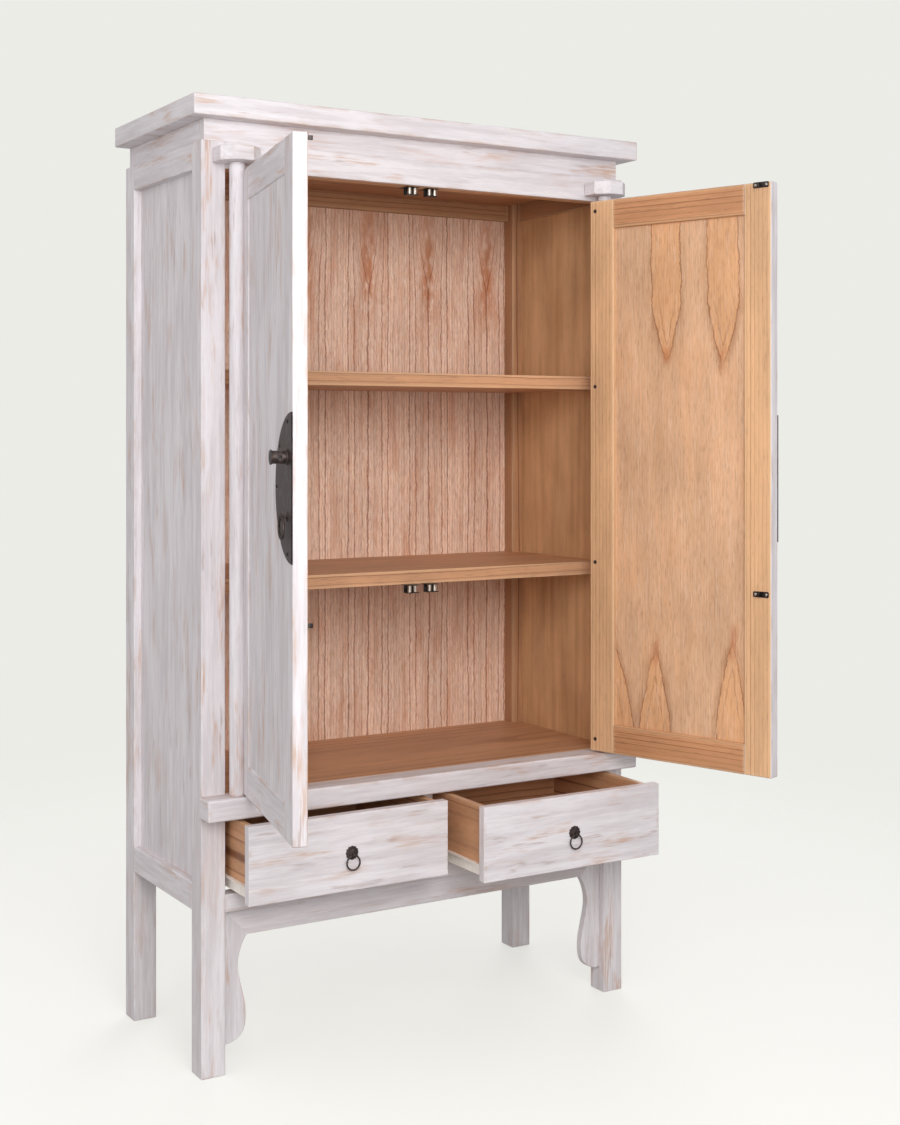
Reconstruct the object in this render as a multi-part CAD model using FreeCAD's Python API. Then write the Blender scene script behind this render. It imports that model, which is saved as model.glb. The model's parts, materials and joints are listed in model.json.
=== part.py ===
import FreeCAD, Part
import math
import os

from FreeCAD import Vector

# A two-door cabinet of Chinese wedding-cabinet type: a post-and-rail carcass with panels,
# two doors that turn on round wooden dowels between a sill and two octagonal blocks,
# three compartments, and two drawers on steel slides under the sill.
#
# Millimetres. X to the right, Y towards the back, Z up.
# The origin is on the floor, at the centre of the rectangle over the four legs.

# Overall sizes
HEIGHT = 1900.0
WIDTH = 1010.0            # over the posts
DEPTH = 420.0             # over the posts
POST = 50.0

# Levels, from the floor up
APRON_BOTTOM = 262.0
DRAWER_RAIL_BOTTOM = 316.0
DRAWER_RAIL_TOP = 351.0
SIDE_RAIL_BOTTOM = 317.0
SIDE_RAIL_TOP = 371.0
LEDGE_BOTTOM = 505.0
FLOOR_TOP = 547.0         # top of the pivot ledge and of the cabinet floor
LOWER_SHELF_BOTTOM = 931.0
UPPER_SHELF_BOTTOM = 1346.0
TOP_RAIL_BOTTOM = 1763.0
FRAME_TOP = 1816.0
FRIEZE_TOP = 1859.0

# Carcass
CORNICE_OVERHANG = 25.0
FRIEZE_INSET = 9.0
FRIEZE_THICK = 20.0
RAIL_THICK = 30.0
TOP_RAIL_DEPTH = 40.0
DRAWER_RAIL_DEPTH = 35.0
DIVIDER_WIDTH = 25.0
APRON_RECESS = 16.0
APRON_THICK = 17.0
SIDE_PANEL_RECESS = 16.0
SIDE_PANEL_THICK = 8.0
BACK_PANEL_THICK = 6.0
BACK_PANEL_RECESS = 9.0   # from the back faces of the posts
SHELF_THICK = 29.0
SHELF_SETBACK = 38.0      # behind the front faces of the posts
FLOOR_THICK = 18.0
FLOOR_RAIL_HEIGHT = 40.0  # of the rail under the back edge of the floor
CEILING_THICK = 8.0
CEILING_TOP = 1808.0
LEDGE_PROJECTION = 48.0
LEDGE_OVERHANG = 5.5
LEDGE_LIP_THICK = 23.0
LEDGE_NOSE = 5.0          # of the full height of the ledge between the posts
HOUSING = 8.0             # depth of grooves and housings
TENON = 20.0              # length of the carcass tenons
TENON_THICK = 12.0
SHOULDER = 10.0           # above and below the tenons
TONGUE = 6.0              # apron and spandrel tongues
SPANDREL_WIDTH = 53.0     # of the mitre at the lower edge of the apron
SPANDREL_TOE = 53.0       # level of its lowest point
EASE = 2.0                # rounding of the long edges
EDGE_ROUND = 4.0          # rounding of the ledge and of the cornice

# Doors, with u along the door from the pivot axis and q inwards from it
PIVOT_INSET = 64.0        # pivot axis from the outer side of the post
PIVOT_FORWARD = 24.0      # pivot axis in front of the posts
DOWEL_RADIUS = 15.0
DOWEL_FLAT = 11.0
PIN_RADIUS = 8.0
PIN_CLEARANCE = 0.05
PIN_LENGTH = 18.0
END_PLAY = 0.3
BLOCK_ACROSS_FLATS = 84.0
BLOCK_BOTTOM = 1772.0
BLOCK_TOP = 1801.0
DOOR_BOTTOM = 550.0
DOOR_TOP = 1758.0
DOOR_THICK = 27.0
DOOR_HINGE_EDGE = -13.0
DOOR_FREE_EDGE = 440.0
DOOR_MEMBER = 63.0
DOOR_TENON = 40.0
DOOR_TENON_THICK = 9.0
DOOR_PANEL_OUTER_RECESS = 3.0
DOOR_PANEL_INNER_RECESS = 9.0
DOOR_PANEL_GAP = 0.6
DOOR_ROUND = 3.0
DOOR_SCREW_LEVELS = (577.0, 965.0, 1350.0, 1735.0)
LEFT_DOOR_OPEN = 103.0    # degrees open at rest
RIGHT_DOOR_OPEN = 107.5

# Door ironwork
LOCK_PLATE_RADIUS = 129.0
LOCK_PLATE_THICK = 2.0
LOCK_PLATE_LEVEL = 1156.0
NAIL_FROM_RIM = 12.0
LOCK_POST_LEVEL = 1208.0
LOCK_POST_FROM_EDGE = 33.0
LOCK_POST_RADIUS = 12.0
LOCK_POST_REACH = 30.0    # from the lock plate to the tip
LOCK_POST_HOLE_RADIUS = 4.5
DOOR_RING_LEVEL = 1106.5  # where the ring hangs
DOOR_RING_FROM_EDGE = 35.0
DOOR_RING_RADIUS = 18.5   # to the middle of the wire
DOOR_RING_WIRE = 2.5
DOOR_RING_STANDOFF = 10.0

# Roller catches and their strikes
CATCH_WIDTH = 28.0
CATCH_HEIGHT = 17.0
CATCH_DEPTH = 34.0
CATCH_PLATE = 1.2
CATCH_SETBACK = 17.0      # behind the front faces of the posts
ROLLER_RADIUS = 4.25
ROLLER_GAP = 4.4
ROLLER_PIN_RADIUS = 1.4
ROLLER_TRAVEL = 1.6
ROLLER_INSET = 1.5        # of the rollers in the mouth of the catch
CATCH_HOLLOW = 15.0       # depth of the room for the rollers
CATCH_WALL = 2.0          # behind the rollers
STRIKE_FROM_EDGE = 23.0
STRIKE_LEVELS = (1752.0, 921.0)
STRIKE_THICK = 1.5
STRIKE_TONGUE = 12.0

# Drawers
DRAWER_GAP = 1.5
DRAWER_FRONT_THICK = 20.0
DRAWER_SIDE_THICK = 12.0
DRAWER_BOX_BACK = 160.0   # Y of the back of the closed box
DRAWER_BOX_BOTTOM = 362.0
DRAWER_BOX_TOP = 500.0
DRAWER_BOTTOM_LEVEL = 372.0
DRAWER_BOTTOM_THICK = 6.0
SLIDE_SPACE = 12.5
SLIDE_SHEET = 1.2
SLIDE_ROLLER_RADIUS = 9.5
SLIDE_RUNNER_HEIGHT = 24.0
SLIDE_CHANNEL_HEIGHT = 36.0
SLIDE_FLANGE = 9.5        # width of the tracks
DRAWER_RING_LEVEL = 423.0
DRAWER_RING_RADIUS = 14.25
DRAWER_RING_WIRE = 1.75
DRAWER_RING_STANDOFF = 6.5
ROSETTE_RADIUS = 13.5
LEFT_DRAWER_OPEN = 107.0  # pulled out at rest
RIGHT_DRAWER_OPEN = 199.0

# Worked out from the above
SIDE = WIDTH / 2
INNER = SIDE - POST
FRONT = -DEPTH / 2
BACK = DEPTH / 2
PIVOT_X = SIDE - PIVOT_INSET
PIVOT_Y = FRONT - PIVOT_FORWARD
FLOOR_BOTTOM = FLOOR_TOP - FLOOR_THICK
DOOR_OUTER = DOWEL_FLAT
DOOR_INNER = DOWEL_FLAT + DOOR_THICK
PANEL_INNER_X = SIDE - SIDE_PANEL_RECESS - SIDE_PANEL_THICK
BACK_PANEL_Y = (BACK - BACK_PANEL_RECESS - BACK_PANEL_THICK, BACK - BACK_PANEL_RECESS)

ORIGIN = Vector(0, 0, 0)
ALONG_X = Vector(1, 0, 0)
ALONG_Y = Vector(0, 1, 0)
ALONG_Z = Vector(0, 0, 1)
ANYWHERE = lambda centre: True


# Shapes in general

def block(x, y, z):
    """A box between three (low, high) pairs."""
    return Part.makeBox(x[1] - x[0], y[1] - y[0], z[1] - z[0], Vector(x[0], y[0], z[0]))


def rod(radius, start, length, direction):
    return Part.makeCylinder(radius, length, start, direction)


def joined(shapes):
    whole = shapes[0]
    for shape in shapes[1:]:
        whole = whole.fuse(shape)
    return whole.removeSplitter()


def less(shape, cutters):
    for cutter in cutters:
        shape = shape.cut(cutter)
    return shape


def mirrored(shape):
    """The same piece on the other side of the cabinet."""
    return shape.mirror(ORIGIN, ALONG_X)


def both_sides(shape):
    return [shape, mirrored(shape)]


def eased(shape, radius, axis=None, where=ANYWHERE):
    """Rounds the straight edges that run along an axis, or all of them, in the place asked for."""
    chosen = []
    for edge in shape.Edges:
        direction = edge.tangentAt(edge.FirstParameter)
        runs_along = axis is None or abs(direction.dot(axis)) > 0.999
        if runs_along and where(edge.CenterOfMass):
            chosen.append(edge)
    return shape.makeFillet(radius, chosen)


def prism(points, axis, low, thickness):
    """A plate cut to an outline of 3-D points that lie in one plane."""
    outline = Part.makePolygon(points + [points[0]])
    return Part.Face(outline).translated(axis * low).extrude(axis * thickness)


def torus_ring(radius, wire, hang_point):
    """A wire ring in the XZ plane that hangs from a point at the top of its wire."""
    return Part.makeTorus(radius, wire, hang_point - ALONG_Z * radius, ALONG_Y)


def lug(x, y_root, y_eye, z, radius, hole_radius):
    """An eye that stands out towards the front, with its hole along X."""
    width = x[1] - x[0]
    centre = Vector(x[0], y_eye, z)
    shank = block(x, (y_eye, y_root), (z - radius, z + radius))
    eye = rod(radius, centre, width, ALONG_X)
    hole = rod(hole_radius, centre - ALONG_X, width + 2, ALONG_X)
    return joined([shank, eye]).cut(hole)


def domed_disc(radius, thickness, height, centre):
    """A round plate against a face, swelling towards the front. centre lies on the face."""
    flat = rod(radius, centre, thickness, -ALONG_Y)
    ball_radius = (radius ** 2 + height ** 2) / (2 * height)
    ball_centre = centre - ALONG_Y * (thickness + height - ball_radius)
    ball = Part.makeSphere(ball_radius, ball_centre)
    cap = ball.common(rod(radius, centre - ALONG_Y * thickness, height + 1, -ALONG_Y))
    return joined([flat, cap])


# Carcass

def post_pair(y):
    """The left and right post at one depth, with rounded long edges and feet."""
    post = block((-SIDE, -INNER), y, (0, FRAME_TOP))
    return both_sides(eased(post, EASE, where=lambda centre: centre.z < FRAME_TOP - 1))


def tenon_levels(z):
    """A tenon is lower than its rail by a shoulder above and below."""
    return z[0] + SHOULDER, z[1] - SHOULDER


def cross_rail(y, z, tenon_start):
    """A rail between two posts, with a tenon at each end."""
    rail = eased(block((-INNER, INNER), y, z), EASE, ALONG_X)
    tenon_y = (tenon_start, tenon_start + TENON_THICK)
    return joined([rail, block((-INNER - TENON, INNER + TENON), tenon_y, tenon_levels(z))])


def side_rail(z):
    x = (-SIDE, -SIDE + RAIL_THICK)
    rail = eased(block(x, (FRONT + POST, BACK - POST), z), EASE, ALONG_Y)
    middle = -SIDE + RAIL_THICK / 2
    tenon_x = (middle - TENON_THICK / 2, middle + TENON_THICK / 2)
    tenon = block(tenon_x, (FRONT + POST - TENON, BACK - POST + TENON), tenon_levels(z))
    return joined([rail, tenon])


def side_panel():
    """A solid panel, let into the posts and rails all round."""
    x = (-SIDE + SIDE_PANEL_RECESS, -PANEL_INNER_X)
    y = (FRONT + POST - HOUSING, BACK - POST + HOUSING)
    return block(x, y, (SIDE_RAIL_TOP - HOUSING, TOP_RAIL_BOTTOM + HOUSING))


def back_panel():
    x = (-INNER - HOUSING, INNER + HOUSING)
    return block(x, BACK_PANEL_Y, (SIDE_RAIL_TOP - HOUSING, TOP_RAIL_BOTTOM + HOUSING))


def back_rails():
    """Top and bottom rails that hold the back panel, and a rail under the cabinet floor."""
    y = (BACK - RAIL_THICK, BACK)
    tenon_start = BACK_PANEL_Y[0] - TENON_THICK - 1
    floor_rail_y = (BACK_PANEL_Y[0] - RAIL_THICK, BACK_PANEL_Y[0])
    return [
        cross_rail(y, (TOP_RAIL_BOTTOM, FRAME_TOP), tenon_start),
        cross_rail(y, (SIDE_RAIL_BOTTOM, SIDE_RAIL_TOP), tenon_start),
        cross_rail(floor_rail_y, (FLOOR_BOTTOM - FLOOR_RAIL_HEIGHT, FLOOR_BOTTOM), tenon_start - SHOULDER),
    ]


def shelf(bottom, thickness, front_y):
    """A board housed in the four posts, notched round them and reaching the side panels."""
    back_y = BACK_PANEL_Y[0]
    z = (bottom, bottom + thickness)
    between_posts = block((-INNER - HOUSING, INNER + HOUSING), (front_y, back_y), z)
    wide = block((-PANEL_INNER_X, PANEL_INNER_X), (FRONT + POST, BACK - POST), z)
    board = joined([between_posts, wide])
    return eased(board, EASE, ALONG_X, lambda centre: centre.y < front_y + 1)


def cabinet_floor():
    """The floor lies on the lip of the ledge and on the rail under its back edge."""
    return shelf(FLOOR_BOTTOM, FLOOR_THICK, FRONT + LEDGE_NOSE)


def ceiling_board():
    y = (FRONT + TOP_RAIL_DEPTH - TONGUE, BACK - RAIL_THICK + TONGUE)
    return block((-INNER, INNER), y, (CEILING_TOP - CEILING_THICK, CEILING_TOP))


def pivot_ledge():
    """The sill: a bar across the front that wraps the posts, and a lip that carries the floor."""
    reach = SIDE + LEDGE_OVERHANG
    z = (LEDGE_BOTTOM, FLOOR_TOP)
    bar = block((-reach, reach), (FRONT - LEDGE_PROJECTION, FRONT), z)
    bar = eased(bar, EDGE_ROUND, where=lambda centre: centre.y < FRONT - 1 or abs(centre.x) > reach - 1)
    lip_z = (LEDGE_BOTTOM, LEDGE_BOTTOM + LEDGE_LIP_THICK)
    lip = block((-INNER, INNER), (FRONT, FRONT + DRAWER_RAIL_DEPTH), lip_z)
    nose = block((-INNER, INNER), (FRONT, FRONT + LEDGE_NOSE), z)
    tenon_y = (FRONT + SHOULDER, FRONT + SHOULDER + TENON_THICK)
    tenon = block((-INNER - TENON, INNER + TENON), tenon_y, (lip_z[0] + 5, lip_z[1] - 5))
    return joined([bar, lip, nose, tenon]).cut(cabinet_floor())


def drawer_divider():
    """The upright between the drawers, tenoned into the ledge and the drawer rail."""
    half = DIVIDER_WIDTH / 2
    y = (FRONT, FRONT + DRAWER_RAIL_DEPTH)
    upright = eased(block((-half, half), y, (DRAWER_RAIL_TOP, LEDGE_BOTTOM)), 1.0, ALONG_Z)
    tenon_z = (DRAWER_RAIL_TOP - 15, LEDGE_BOTTOM + 15)
    tenon = block((-half + 5, half - 5), (FRONT + 10, FRONT + 22), tenon_z)
    return joined([upright, tenon])


def centre_partition():
    """The board behind the divider, which carries the inner slides of both drawers."""
    half = DIVIDER_WIDTH / 2
    y = (FRONT + DRAWER_RAIL_DEPTH, BACK_PANEL_Y[0] - RAIL_THICK)
    board = block((-half, half), y, (DRAWER_RAIL_TOP, LEDGE_BOTTOM))
    upper = block((-half, half), (y[0] + 2, y[1]), (LEDGE_BOTTOM, FLOOR_BOTTOM))
    stub = block((-TONGUE, TONGUE), (y[1], y[1] + TONGUE), (LEDGE_BOTTOM - 12, LEDGE_BOTTOM + 12))
    return joined([board, upper, stub])


def frieze_boards():
    """Four boards on edge between the frame and the cornice, mitred at the corners."""
    outer_x = SIDE - FRIEZE_INSET
    inner_x = outer_x - FRIEZE_THICK
    outer_front = FRONT + FRIEZE_INSET
    inner_front = outer_front + FRIEZE_THICK
    inner_back = BACK - FRIEZE_THICK
    height = FRIEZE_TOP - FRAME_TOP
    front = [Vector(-outer_x, outer_front), Vector(outer_x, outer_front),
             Vector(inner_x, inner_front), Vector(-inner_x, inner_front)]
    back = [Vector(-outer_x, BACK), Vector(outer_x, BACK),
            Vector(inner_x, inner_back), Vector(-inner_x, inner_back)]
    left = [Vector(-outer_x, outer_front), Vector(-inner_x, inner_front),
            Vector(-inner_x, inner_back), Vector(-outer_x, BACK)]
    boards = [prism(points, ALONG_Z, FRAME_TOP, height) for points in (front, back, left)]
    return boards + [mirrored(boards[2])]


def cornice_board():
    x = (-SIDE - CORNICE_OVERHANG, SIDE + CORNICE_OVERHANG)
    board = block(x, (FRONT - CORNICE_OVERHANG, BACK), (FRIEZE_TOP, HEIGHT))
    return eased(board, EDGE_ROUND - 1)


def mitre_width(z):
    """Distance from the post to the mitre between apron and spandrel, at a level."""
    slope = SPANDREL_WIDTH / (DRAWER_RAIL_BOTTOM - APRON_BOTTOM)
    return (DRAWER_RAIL_BOTTOM - z) * slope


def apron_rail():
    """The plain rail under the drawers, mitred to the spandrels and tongued into the rail above."""
    top = DRAWER_RAIL_BOTTOM + TONGUE
    high = INNER - mitre_width(top)
    low = INNER - mitre_width(APRON_BOTTOM)
    points = [Vector(-high, 0, top), Vector(high, 0, top),
              Vector(low, 0, APRON_BOTTOM), Vector(-low, 0, APRON_BOTTOM)]
    rail = prism(points, ALONG_Y, FRONT + APRON_RECESS, APRON_THICK)
    return eased(rail, EASE, ALONG_X, lambda centre: centre.z < APRON_BOTTOM + 1)


def spandrel():
    """The scrolled bracket in the left corner, from the mitre down the leg to a rounded toe."""
    widths_down_the_leg = ((SPANDREL_WIDTH, APRON_BOTTOM), (38.0, 232.0), (34.0, 203.0), (41.0, 162.0),
                           (49.5, 122.0), (50.0, 96.0), (43.0, 71.0), (27.0, 58.0), (0.0, SPANDREL_TOE))
    y = FRONT + APRON_RECESS
    scroll_points = [Vector(-INNER + width, y, z) for width, z in widths_down_the_leg]
    scroll = Part.BSplineCurve()
    scroll.interpolate(scroll_points)
    top = DRAWER_RAIL_BOTTOM + TONGUE
    corner = Vector(-INNER + mitre_width(top), y, top)
    groove_top = Vector(-INNER - TONGUE, y, top)
    groove_foot = Vector(-INNER - TONGUE, y, SPANDREL_TOE)
    straight = Part.makePolygon([scroll_points[-1], groove_foot, groove_top, corner, scroll_points[0]])
    outline = Part.Wire([scroll.toShape()] + straight.Edges)
    return Part.Face(outline).extrude(ALONG_Y * APRON_THICK)


def octagon_block():
    """The left upper pivot bearing, flat against the post and the top rail."""
    circumradius = BLOCK_ACROSS_FLATS / 2 / math.cos(math.pi / 8)
    corners = []
    for index in range(8):
        angle = math.pi / 8 + index * math.pi / 4
        spoke = Vector(math.cos(angle), math.sin(angle)) * circumradius
        corners.append(Vector(-PIVOT_X, PIVOT_Y) + spoke)
    octagon = eased(prism(corners, ALONG_Z, BLOCK_BOTTOM, BLOCK_TOP - BLOCK_BOTTOM), EASE)
    return octagon.cut(block((-SIDE, 0), (FRONT, 0), (BLOCK_BOTTOM - 1, BLOCK_TOP + 1)))


def pivot_hole(mouth, direction):
    """A blind hole for one pin of a dowel."""
    start = Vector(-PIVOT_X, PIVOT_Y, mouth)
    return rod(PIN_RADIUS + PIN_CLEARANCE, start, PIN_LENGTH + 2, direction)


def carcass():
    upper_shelf = shelf(UPPER_SHELF_BOTTOM, SHELF_THICK, FRONT + SHELF_SETBACK)
    lower_shelf = shelf(LOWER_SHELF_BOTTOM, SHELF_THICK, FRONT + SHELF_SETBACK)
    panels = both_sides(side_panel())
    upper_side_rails = both_sides(side_rail((TOP_RAIL_BOTTOM, FRAME_TOP)))
    side_rails = upper_side_rails + both_sides(side_rail((SIDE_RAIL_BOTTOM, SIDE_RAIL_TOP)))
    rear_panel = back_panel()
    rear_rails = back_rails()
    ceiling = ceiling_board()
    partition = centre_partition()
    top_rail = cross_rail((FRONT, FRONT + TOP_RAIL_DEPTH), (TOP_RAIL_BOTTOM, FRAME_TOP), FRONT + 22)
    drawer_rail = cross_rail((FRONT, FRONT + DRAWER_RAIL_DEPTH), (DRAWER_RAIL_BOTTOM, DRAWER_RAIL_TOP),
                             FRONT + 20)
    apron = apron_rail()
    brackets = both_sides(spandrel())
    divider = drawer_divider()
    lower_holes = both_sides(pivot_hole(FLOOR_TOP, -ALONG_Z))
    upper_hole = pivot_hole(BLOCK_BOTTOM, ALONG_Z)
    ledge = less(pivot_ledge(), lower_holes + [divider])
    let_into_posts = (panels + side_rails + brackets + [rear_panel] + rear_rails
                      + [upper_shelf, lower_shelf, cabinet_floor(), top_rail, drawer_rail, apron, ledge])
    front_left, front_right = [less(post, let_into_posts) for post in post_pair((FRONT, FRONT + POST))]
    back_left, back_right = [less(post, let_into_posts) for post in post_pair((BACK - POST, BACK))]
    return {
        "cornice_board": [cornice_board()],
        "frieze_boards": frieze_boards(),
        "front_left_post": [front_left],
        "front_right_post": [front_right],
        "back_left_post": [back_left],
        "back_right_post": [back_right],
        "front_top_rail": [top_rail.cut(ceiling)],
        "pivot_blocks": both_sides(octagon_block().cut(upper_hole)),
        "pivot_ledge": [ledge],
        "drawer_rail": [less(drawer_rail, [apron, divider] + brackets)],
        "drawer_divider": [divider],
        "centre_partition": [partition],
        "apron_rail": [apron],
        "spandrels": brackets,
        "side_rails": [less(rail, panels) for rail in side_rails],
        "side_panels": panels,
        "back_rails": [less(rail, [rear_panel, ceiling, partition]) for rail in rear_rails],
        "back_panel": [rear_panel],
        "ceiling_board": [ceiling],
        "upper_shelf": [upper_shelf],
        "lower_shelf": [lower_shelf],
        "cabinet_floor": [cabinet_floor()],
    }


# Roller catches: a housing, and two rollers that spring apart to let the strike in

def catch_centres():
    """Middle of the mouth of each catch: under the top rail and under the lower shelf."""
    y = FRONT + CATCH_SETBACK
    x = DOOR_FREE_EDGE - STRIKE_FROM_EDGE - PIVOT_X
    return [Vector(side * x, y, top - CATCH_HEIGHT / 2)
            for side in (1, -1) for top in (TOP_RAIL_BOTTOM, LOWER_SHELF_BOTTOM)]


def roller_place(centre, side):
    offset = ROLLER_GAP / 2 + ROLLER_RADIUS
    return centre + Vector(side * offset, ROLLER_RADIUS + ROLLER_INSET, 0)


def catch_housing(centre):
    """Top and bottom plates joined by a back wall, slotted for the pins of the rollers."""
    x = (centre.x - CATCH_WIDTH / 2, centre.x + CATCH_WIDTH / 2)
    y = (centre.y, centre.y + CATCH_DEPTH)
    z = (centre.z - CATCH_HEIGHT / 2, centre.z + CATCH_HEIGHT / 2)
    hollow = block(x, (y[0], y[0] + CATCH_HOLLOW), (z[0] + CATCH_PLATE, z[1] - CATCH_PLATE))
    below_tail = block(x, (y[0] + CATCH_HOLLOW + CATCH_WALL, y[1]), (z[0], z[1] - CATCH_PLATE))
    housing = less(block(x, y, z), [hollow, below_tail])
    slot_radius = ROLLER_PIN_RADIUS + 0.1
    for side in (-1, 1):
        place = roller_place(centre, side)
        ends = [place, place + ALONG_X * (side * ROLLER_TRAVEL)]
        for end in ends:
            housing = housing.cut(rod(slot_radius, Vector(end.x, end.y, z[0]), CATCH_HEIGHT, ALONG_Z))
        slot_x = sorted([ends[0].x, ends[1].x])
        housing = housing.cut(block(slot_x, (place.y - slot_radius, place.y + slot_radius), z))
    return housing


def eased_drum(drum):
    """Rounds both rims of a roller."""
    rims = [edge for edge in drum.Edges if isinstance(edge.Curve, Part.Circle)]
    return drum.makeFillet(0.6, rims)


def catch_roller(centre, side):
    place = roller_place(centre, side)
    length = CATCH_HEIGHT - 2 * CATCH_PLATE - 1.0
    drum = rod(ROLLER_RADIUS, place - ALONG_Z * (length / 2), length, ALONG_Z)
    pin_length = CATCH_HEIGHT - 0.4
    pin = rod(ROLLER_PIN_RADIUS, place - ALONG_Z * (pin_length / 2), pin_length, ALONG_Z)
    return joined([eased_drum(drum), pin])


def catches():
    right_side, left_side = catch_centres()[:2], catch_centres()[2:]
    parts = {"catch_housings": [catch_housing(centre) for centre in catch_centres()]}
    for door, centres in (("left", left_side), ("right", right_side)):
        for name, side in (("left", -1), ("right", 1)):
            rollers = [catch_roller(centre, side) for centre in centres]
            parts[f"{door}_catch_{name}_rollers"] = rollers
    return parts


# Doors, drawn closed on the pivot axis: u is X, q is Y

def pivot_dowel():
    """The round stile: a pin at each end, and a flat that the door frame is screwed to."""
    low, high = FLOOR_TOP + END_PLAY, BLOCK_BOTTOM - END_PLAY
    body = rod(DOWEL_RADIUS, Vector(0, 0, low), high - low, ALONG_Z)
    pins = rod(PIN_RADIUS, Vector(0, 0, low - PIN_LENGTH), high - low + 2 * PIN_LENGTH, ALONG_Z)
    flat = block((-DOWEL_RADIUS, DOWEL_RADIUS), (DOWEL_FLAT, DOWEL_RADIUS + 1), (DOOR_BOTTOM, DOOR_TOP))
    return joined([body, pins]).cut(flat)


def door_screws():
    """Countersunk screws from the inner face, through the hinge stile into the dowel."""
    screws = []
    for level in DOOR_SCREW_LEVELS:
        head_seat = Vector(1.0, DOOR_INNER - 0.3, level)
        head = Part.makeCone(4.2, 2.0, 3.5, head_seat, -ALONG_Y)
        shank = rod(2.0, head_seat, DOOR_THICK + 9, -ALONG_Y)
        screws.append(joined([head, shank]))
    return screws


def door_stile(u, outer_edge):
    """One stile. The edge away from the panel is rounded more than the one next to it."""
    stile = block(u, (DOOR_OUTER, DOOR_INNER), (DOOR_BOTTOM, DOOR_TOP))
    rounded = eased(stile, DOOR_ROUND, ALONG_Z, lambda centre: abs(centre.x - outer_edge) < 1)
    return eased(rounded, 1.0, ALONG_Z, lambda centre: abs(centre.x - outer_edge) > DOOR_MEMBER - 1)


def door_rail(z, tenon_z, outer_edge):
    u = (DOOR_HINGE_EDGE + DOOR_MEMBER, DOOR_FREE_EDGE - DOOR_MEMBER)
    rail = block(u, (DOOR_OUTER, DOOR_INNER), z)
    rail = eased(rail, DOOR_ROUND, ALONG_X, lambda centre: abs(centre.z - outer_edge) < 1)
    rail = eased(rail, 1.0, ALONG_X, lambda centre: abs(centre.z - outer_edge) > DOOR_MEMBER - 1)
    middle = (DOOR_OUTER + DOOR_INNER) / 2
    tenon_q = (middle - DOOR_TENON_THICK / 2, middle + DOOR_TENON_THICK / 2)
    return joined([rail, block((u[0] - DOOR_TENON, u[1] + DOOR_TENON), tenon_q, tenon_z)])


def door_panel():
    """A solid panel with a tongue all round, loose in the grooves of the frame."""
    u = (DOOR_HINGE_EDGE + DOOR_MEMBER, DOOR_FREE_EDGE - DOOR_MEMBER)
    z = (DOOR_BOTTOM + DOOR_MEMBER, DOOR_TOP - DOOR_MEMBER)
    face_q = (DOOR_OUTER + DOOR_PANEL_OUTER_RECESS, DOOR_INNER - DOOR_PANEL_INNER_RECESS)
    tongue_q = (face_q[0] + 4, face_q[1] - 3)
    gap = DOOR_PANEL_GAP
    field = block((u[0] + gap, u[1] - gap), face_q, (z[0] + gap, z[1] - gap))
    tongue = block((u[0] - HOUSING, u[1] + HOUSING), tongue_q, (z[0] - HOUSING, z[1] + HOUSING))
    return joined([field, tongue])


def lock_plate():
    """Half of a round plate, flush with the free edge, so that two doors make a full circle."""
    centre = Vector(DOOR_FREE_EDGE, DOOR_OUTER, LOCK_PLATE_LEVEL)
    disc = rod(LOCK_PLATE_RADIUS, centre, LOCK_PLATE_THICK, -ALONG_Y)
    return disc.cut(block((DOOR_FREE_EDGE, DOOR_FREE_EDGE + LOCK_PLATE_RADIUS + 1), (0, DOOR_OUTER + 1),
                          (DOOR_BOTTOM, DOOR_TOP)))


def lock_plate_nails():
    """Domed nails near the rim, spread evenly over the half circle."""
    nails = []
    rim = LOCK_PLATE_RADIUS - NAIL_FROM_RIM
    for index in range(5):
        angle = math.radians(105 + 37.5 * index)
        place = Vector(DOOR_FREE_EDGE + rim * math.cos(angle), DOOR_OUTER - LOCK_PLATE_THICK,
                       LOCK_PLATE_LEVEL + rim * math.sin(angle))
        shank = rod(1.2, place, 14, ALONG_Y)
        nails.append(joined([domed_disc(3.5, 0.4, 1.6, place), shank]))
    return nails


def lock_post():
    """A round post, cross-drilled for the bar of a padlock."""
    foot = Vector(DOOR_FREE_EDGE - LOCK_POST_FROM_EDGE, DOOR_OUTER - LOCK_PLATE_THICK, LOCK_POST_LEVEL)
    barrel = rod(LOCK_POST_RADIUS, foot, LOCK_POST_REACH, -ALONG_Y)
    shank = rod(3.5, foot, 20, ALONG_Y)
    middle = foot - ALONG_Y * (LOCK_POST_REACH / 2)
    hole = rod(LOCK_POST_HOLE_RADIUS, middle - ALONG_X * 15, 30, ALONG_X)
    return joined([barrel, shank]).cut(hole)


def door_ring_hang_point():
    standoff = DOOR_OUTER - LOCK_PLATE_THICK - DOOR_RING_STANDOFF
    return Vector(DOOR_FREE_EDGE - DOOR_RING_FROM_EDGE, standoff, DOOR_RING_LEVEL)


def ring_staple():
    """The small eye that the pull ring hangs in."""
    hang = door_ring_hang_point()
    face = DOOR_OUTER - LOCK_PLATE_THICK
    flange = domed_disc(9.0, 1.0, 1.5, Vector(hang.x, face, hang.z))
    eye = lug((hang.x - 2.5, hang.x + 2.5), face, hang.y, hang.z, 6.0, DOOR_RING_WIRE + 0.9)
    shank = rod(2.5, Vector(hang.x, face, hang.z), 18, ALONG_Y)
    return joined([flange, eye, shank])


def domed_disc_inwards(centre):
    """A small round screw head on the inner face."""
    head = domed_disc(2.6, 0.3, 1.0, Vector(0, 0, 0))
    return head.rotated(ORIGIN, ALONG_Z, 180).translated(centre)


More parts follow.
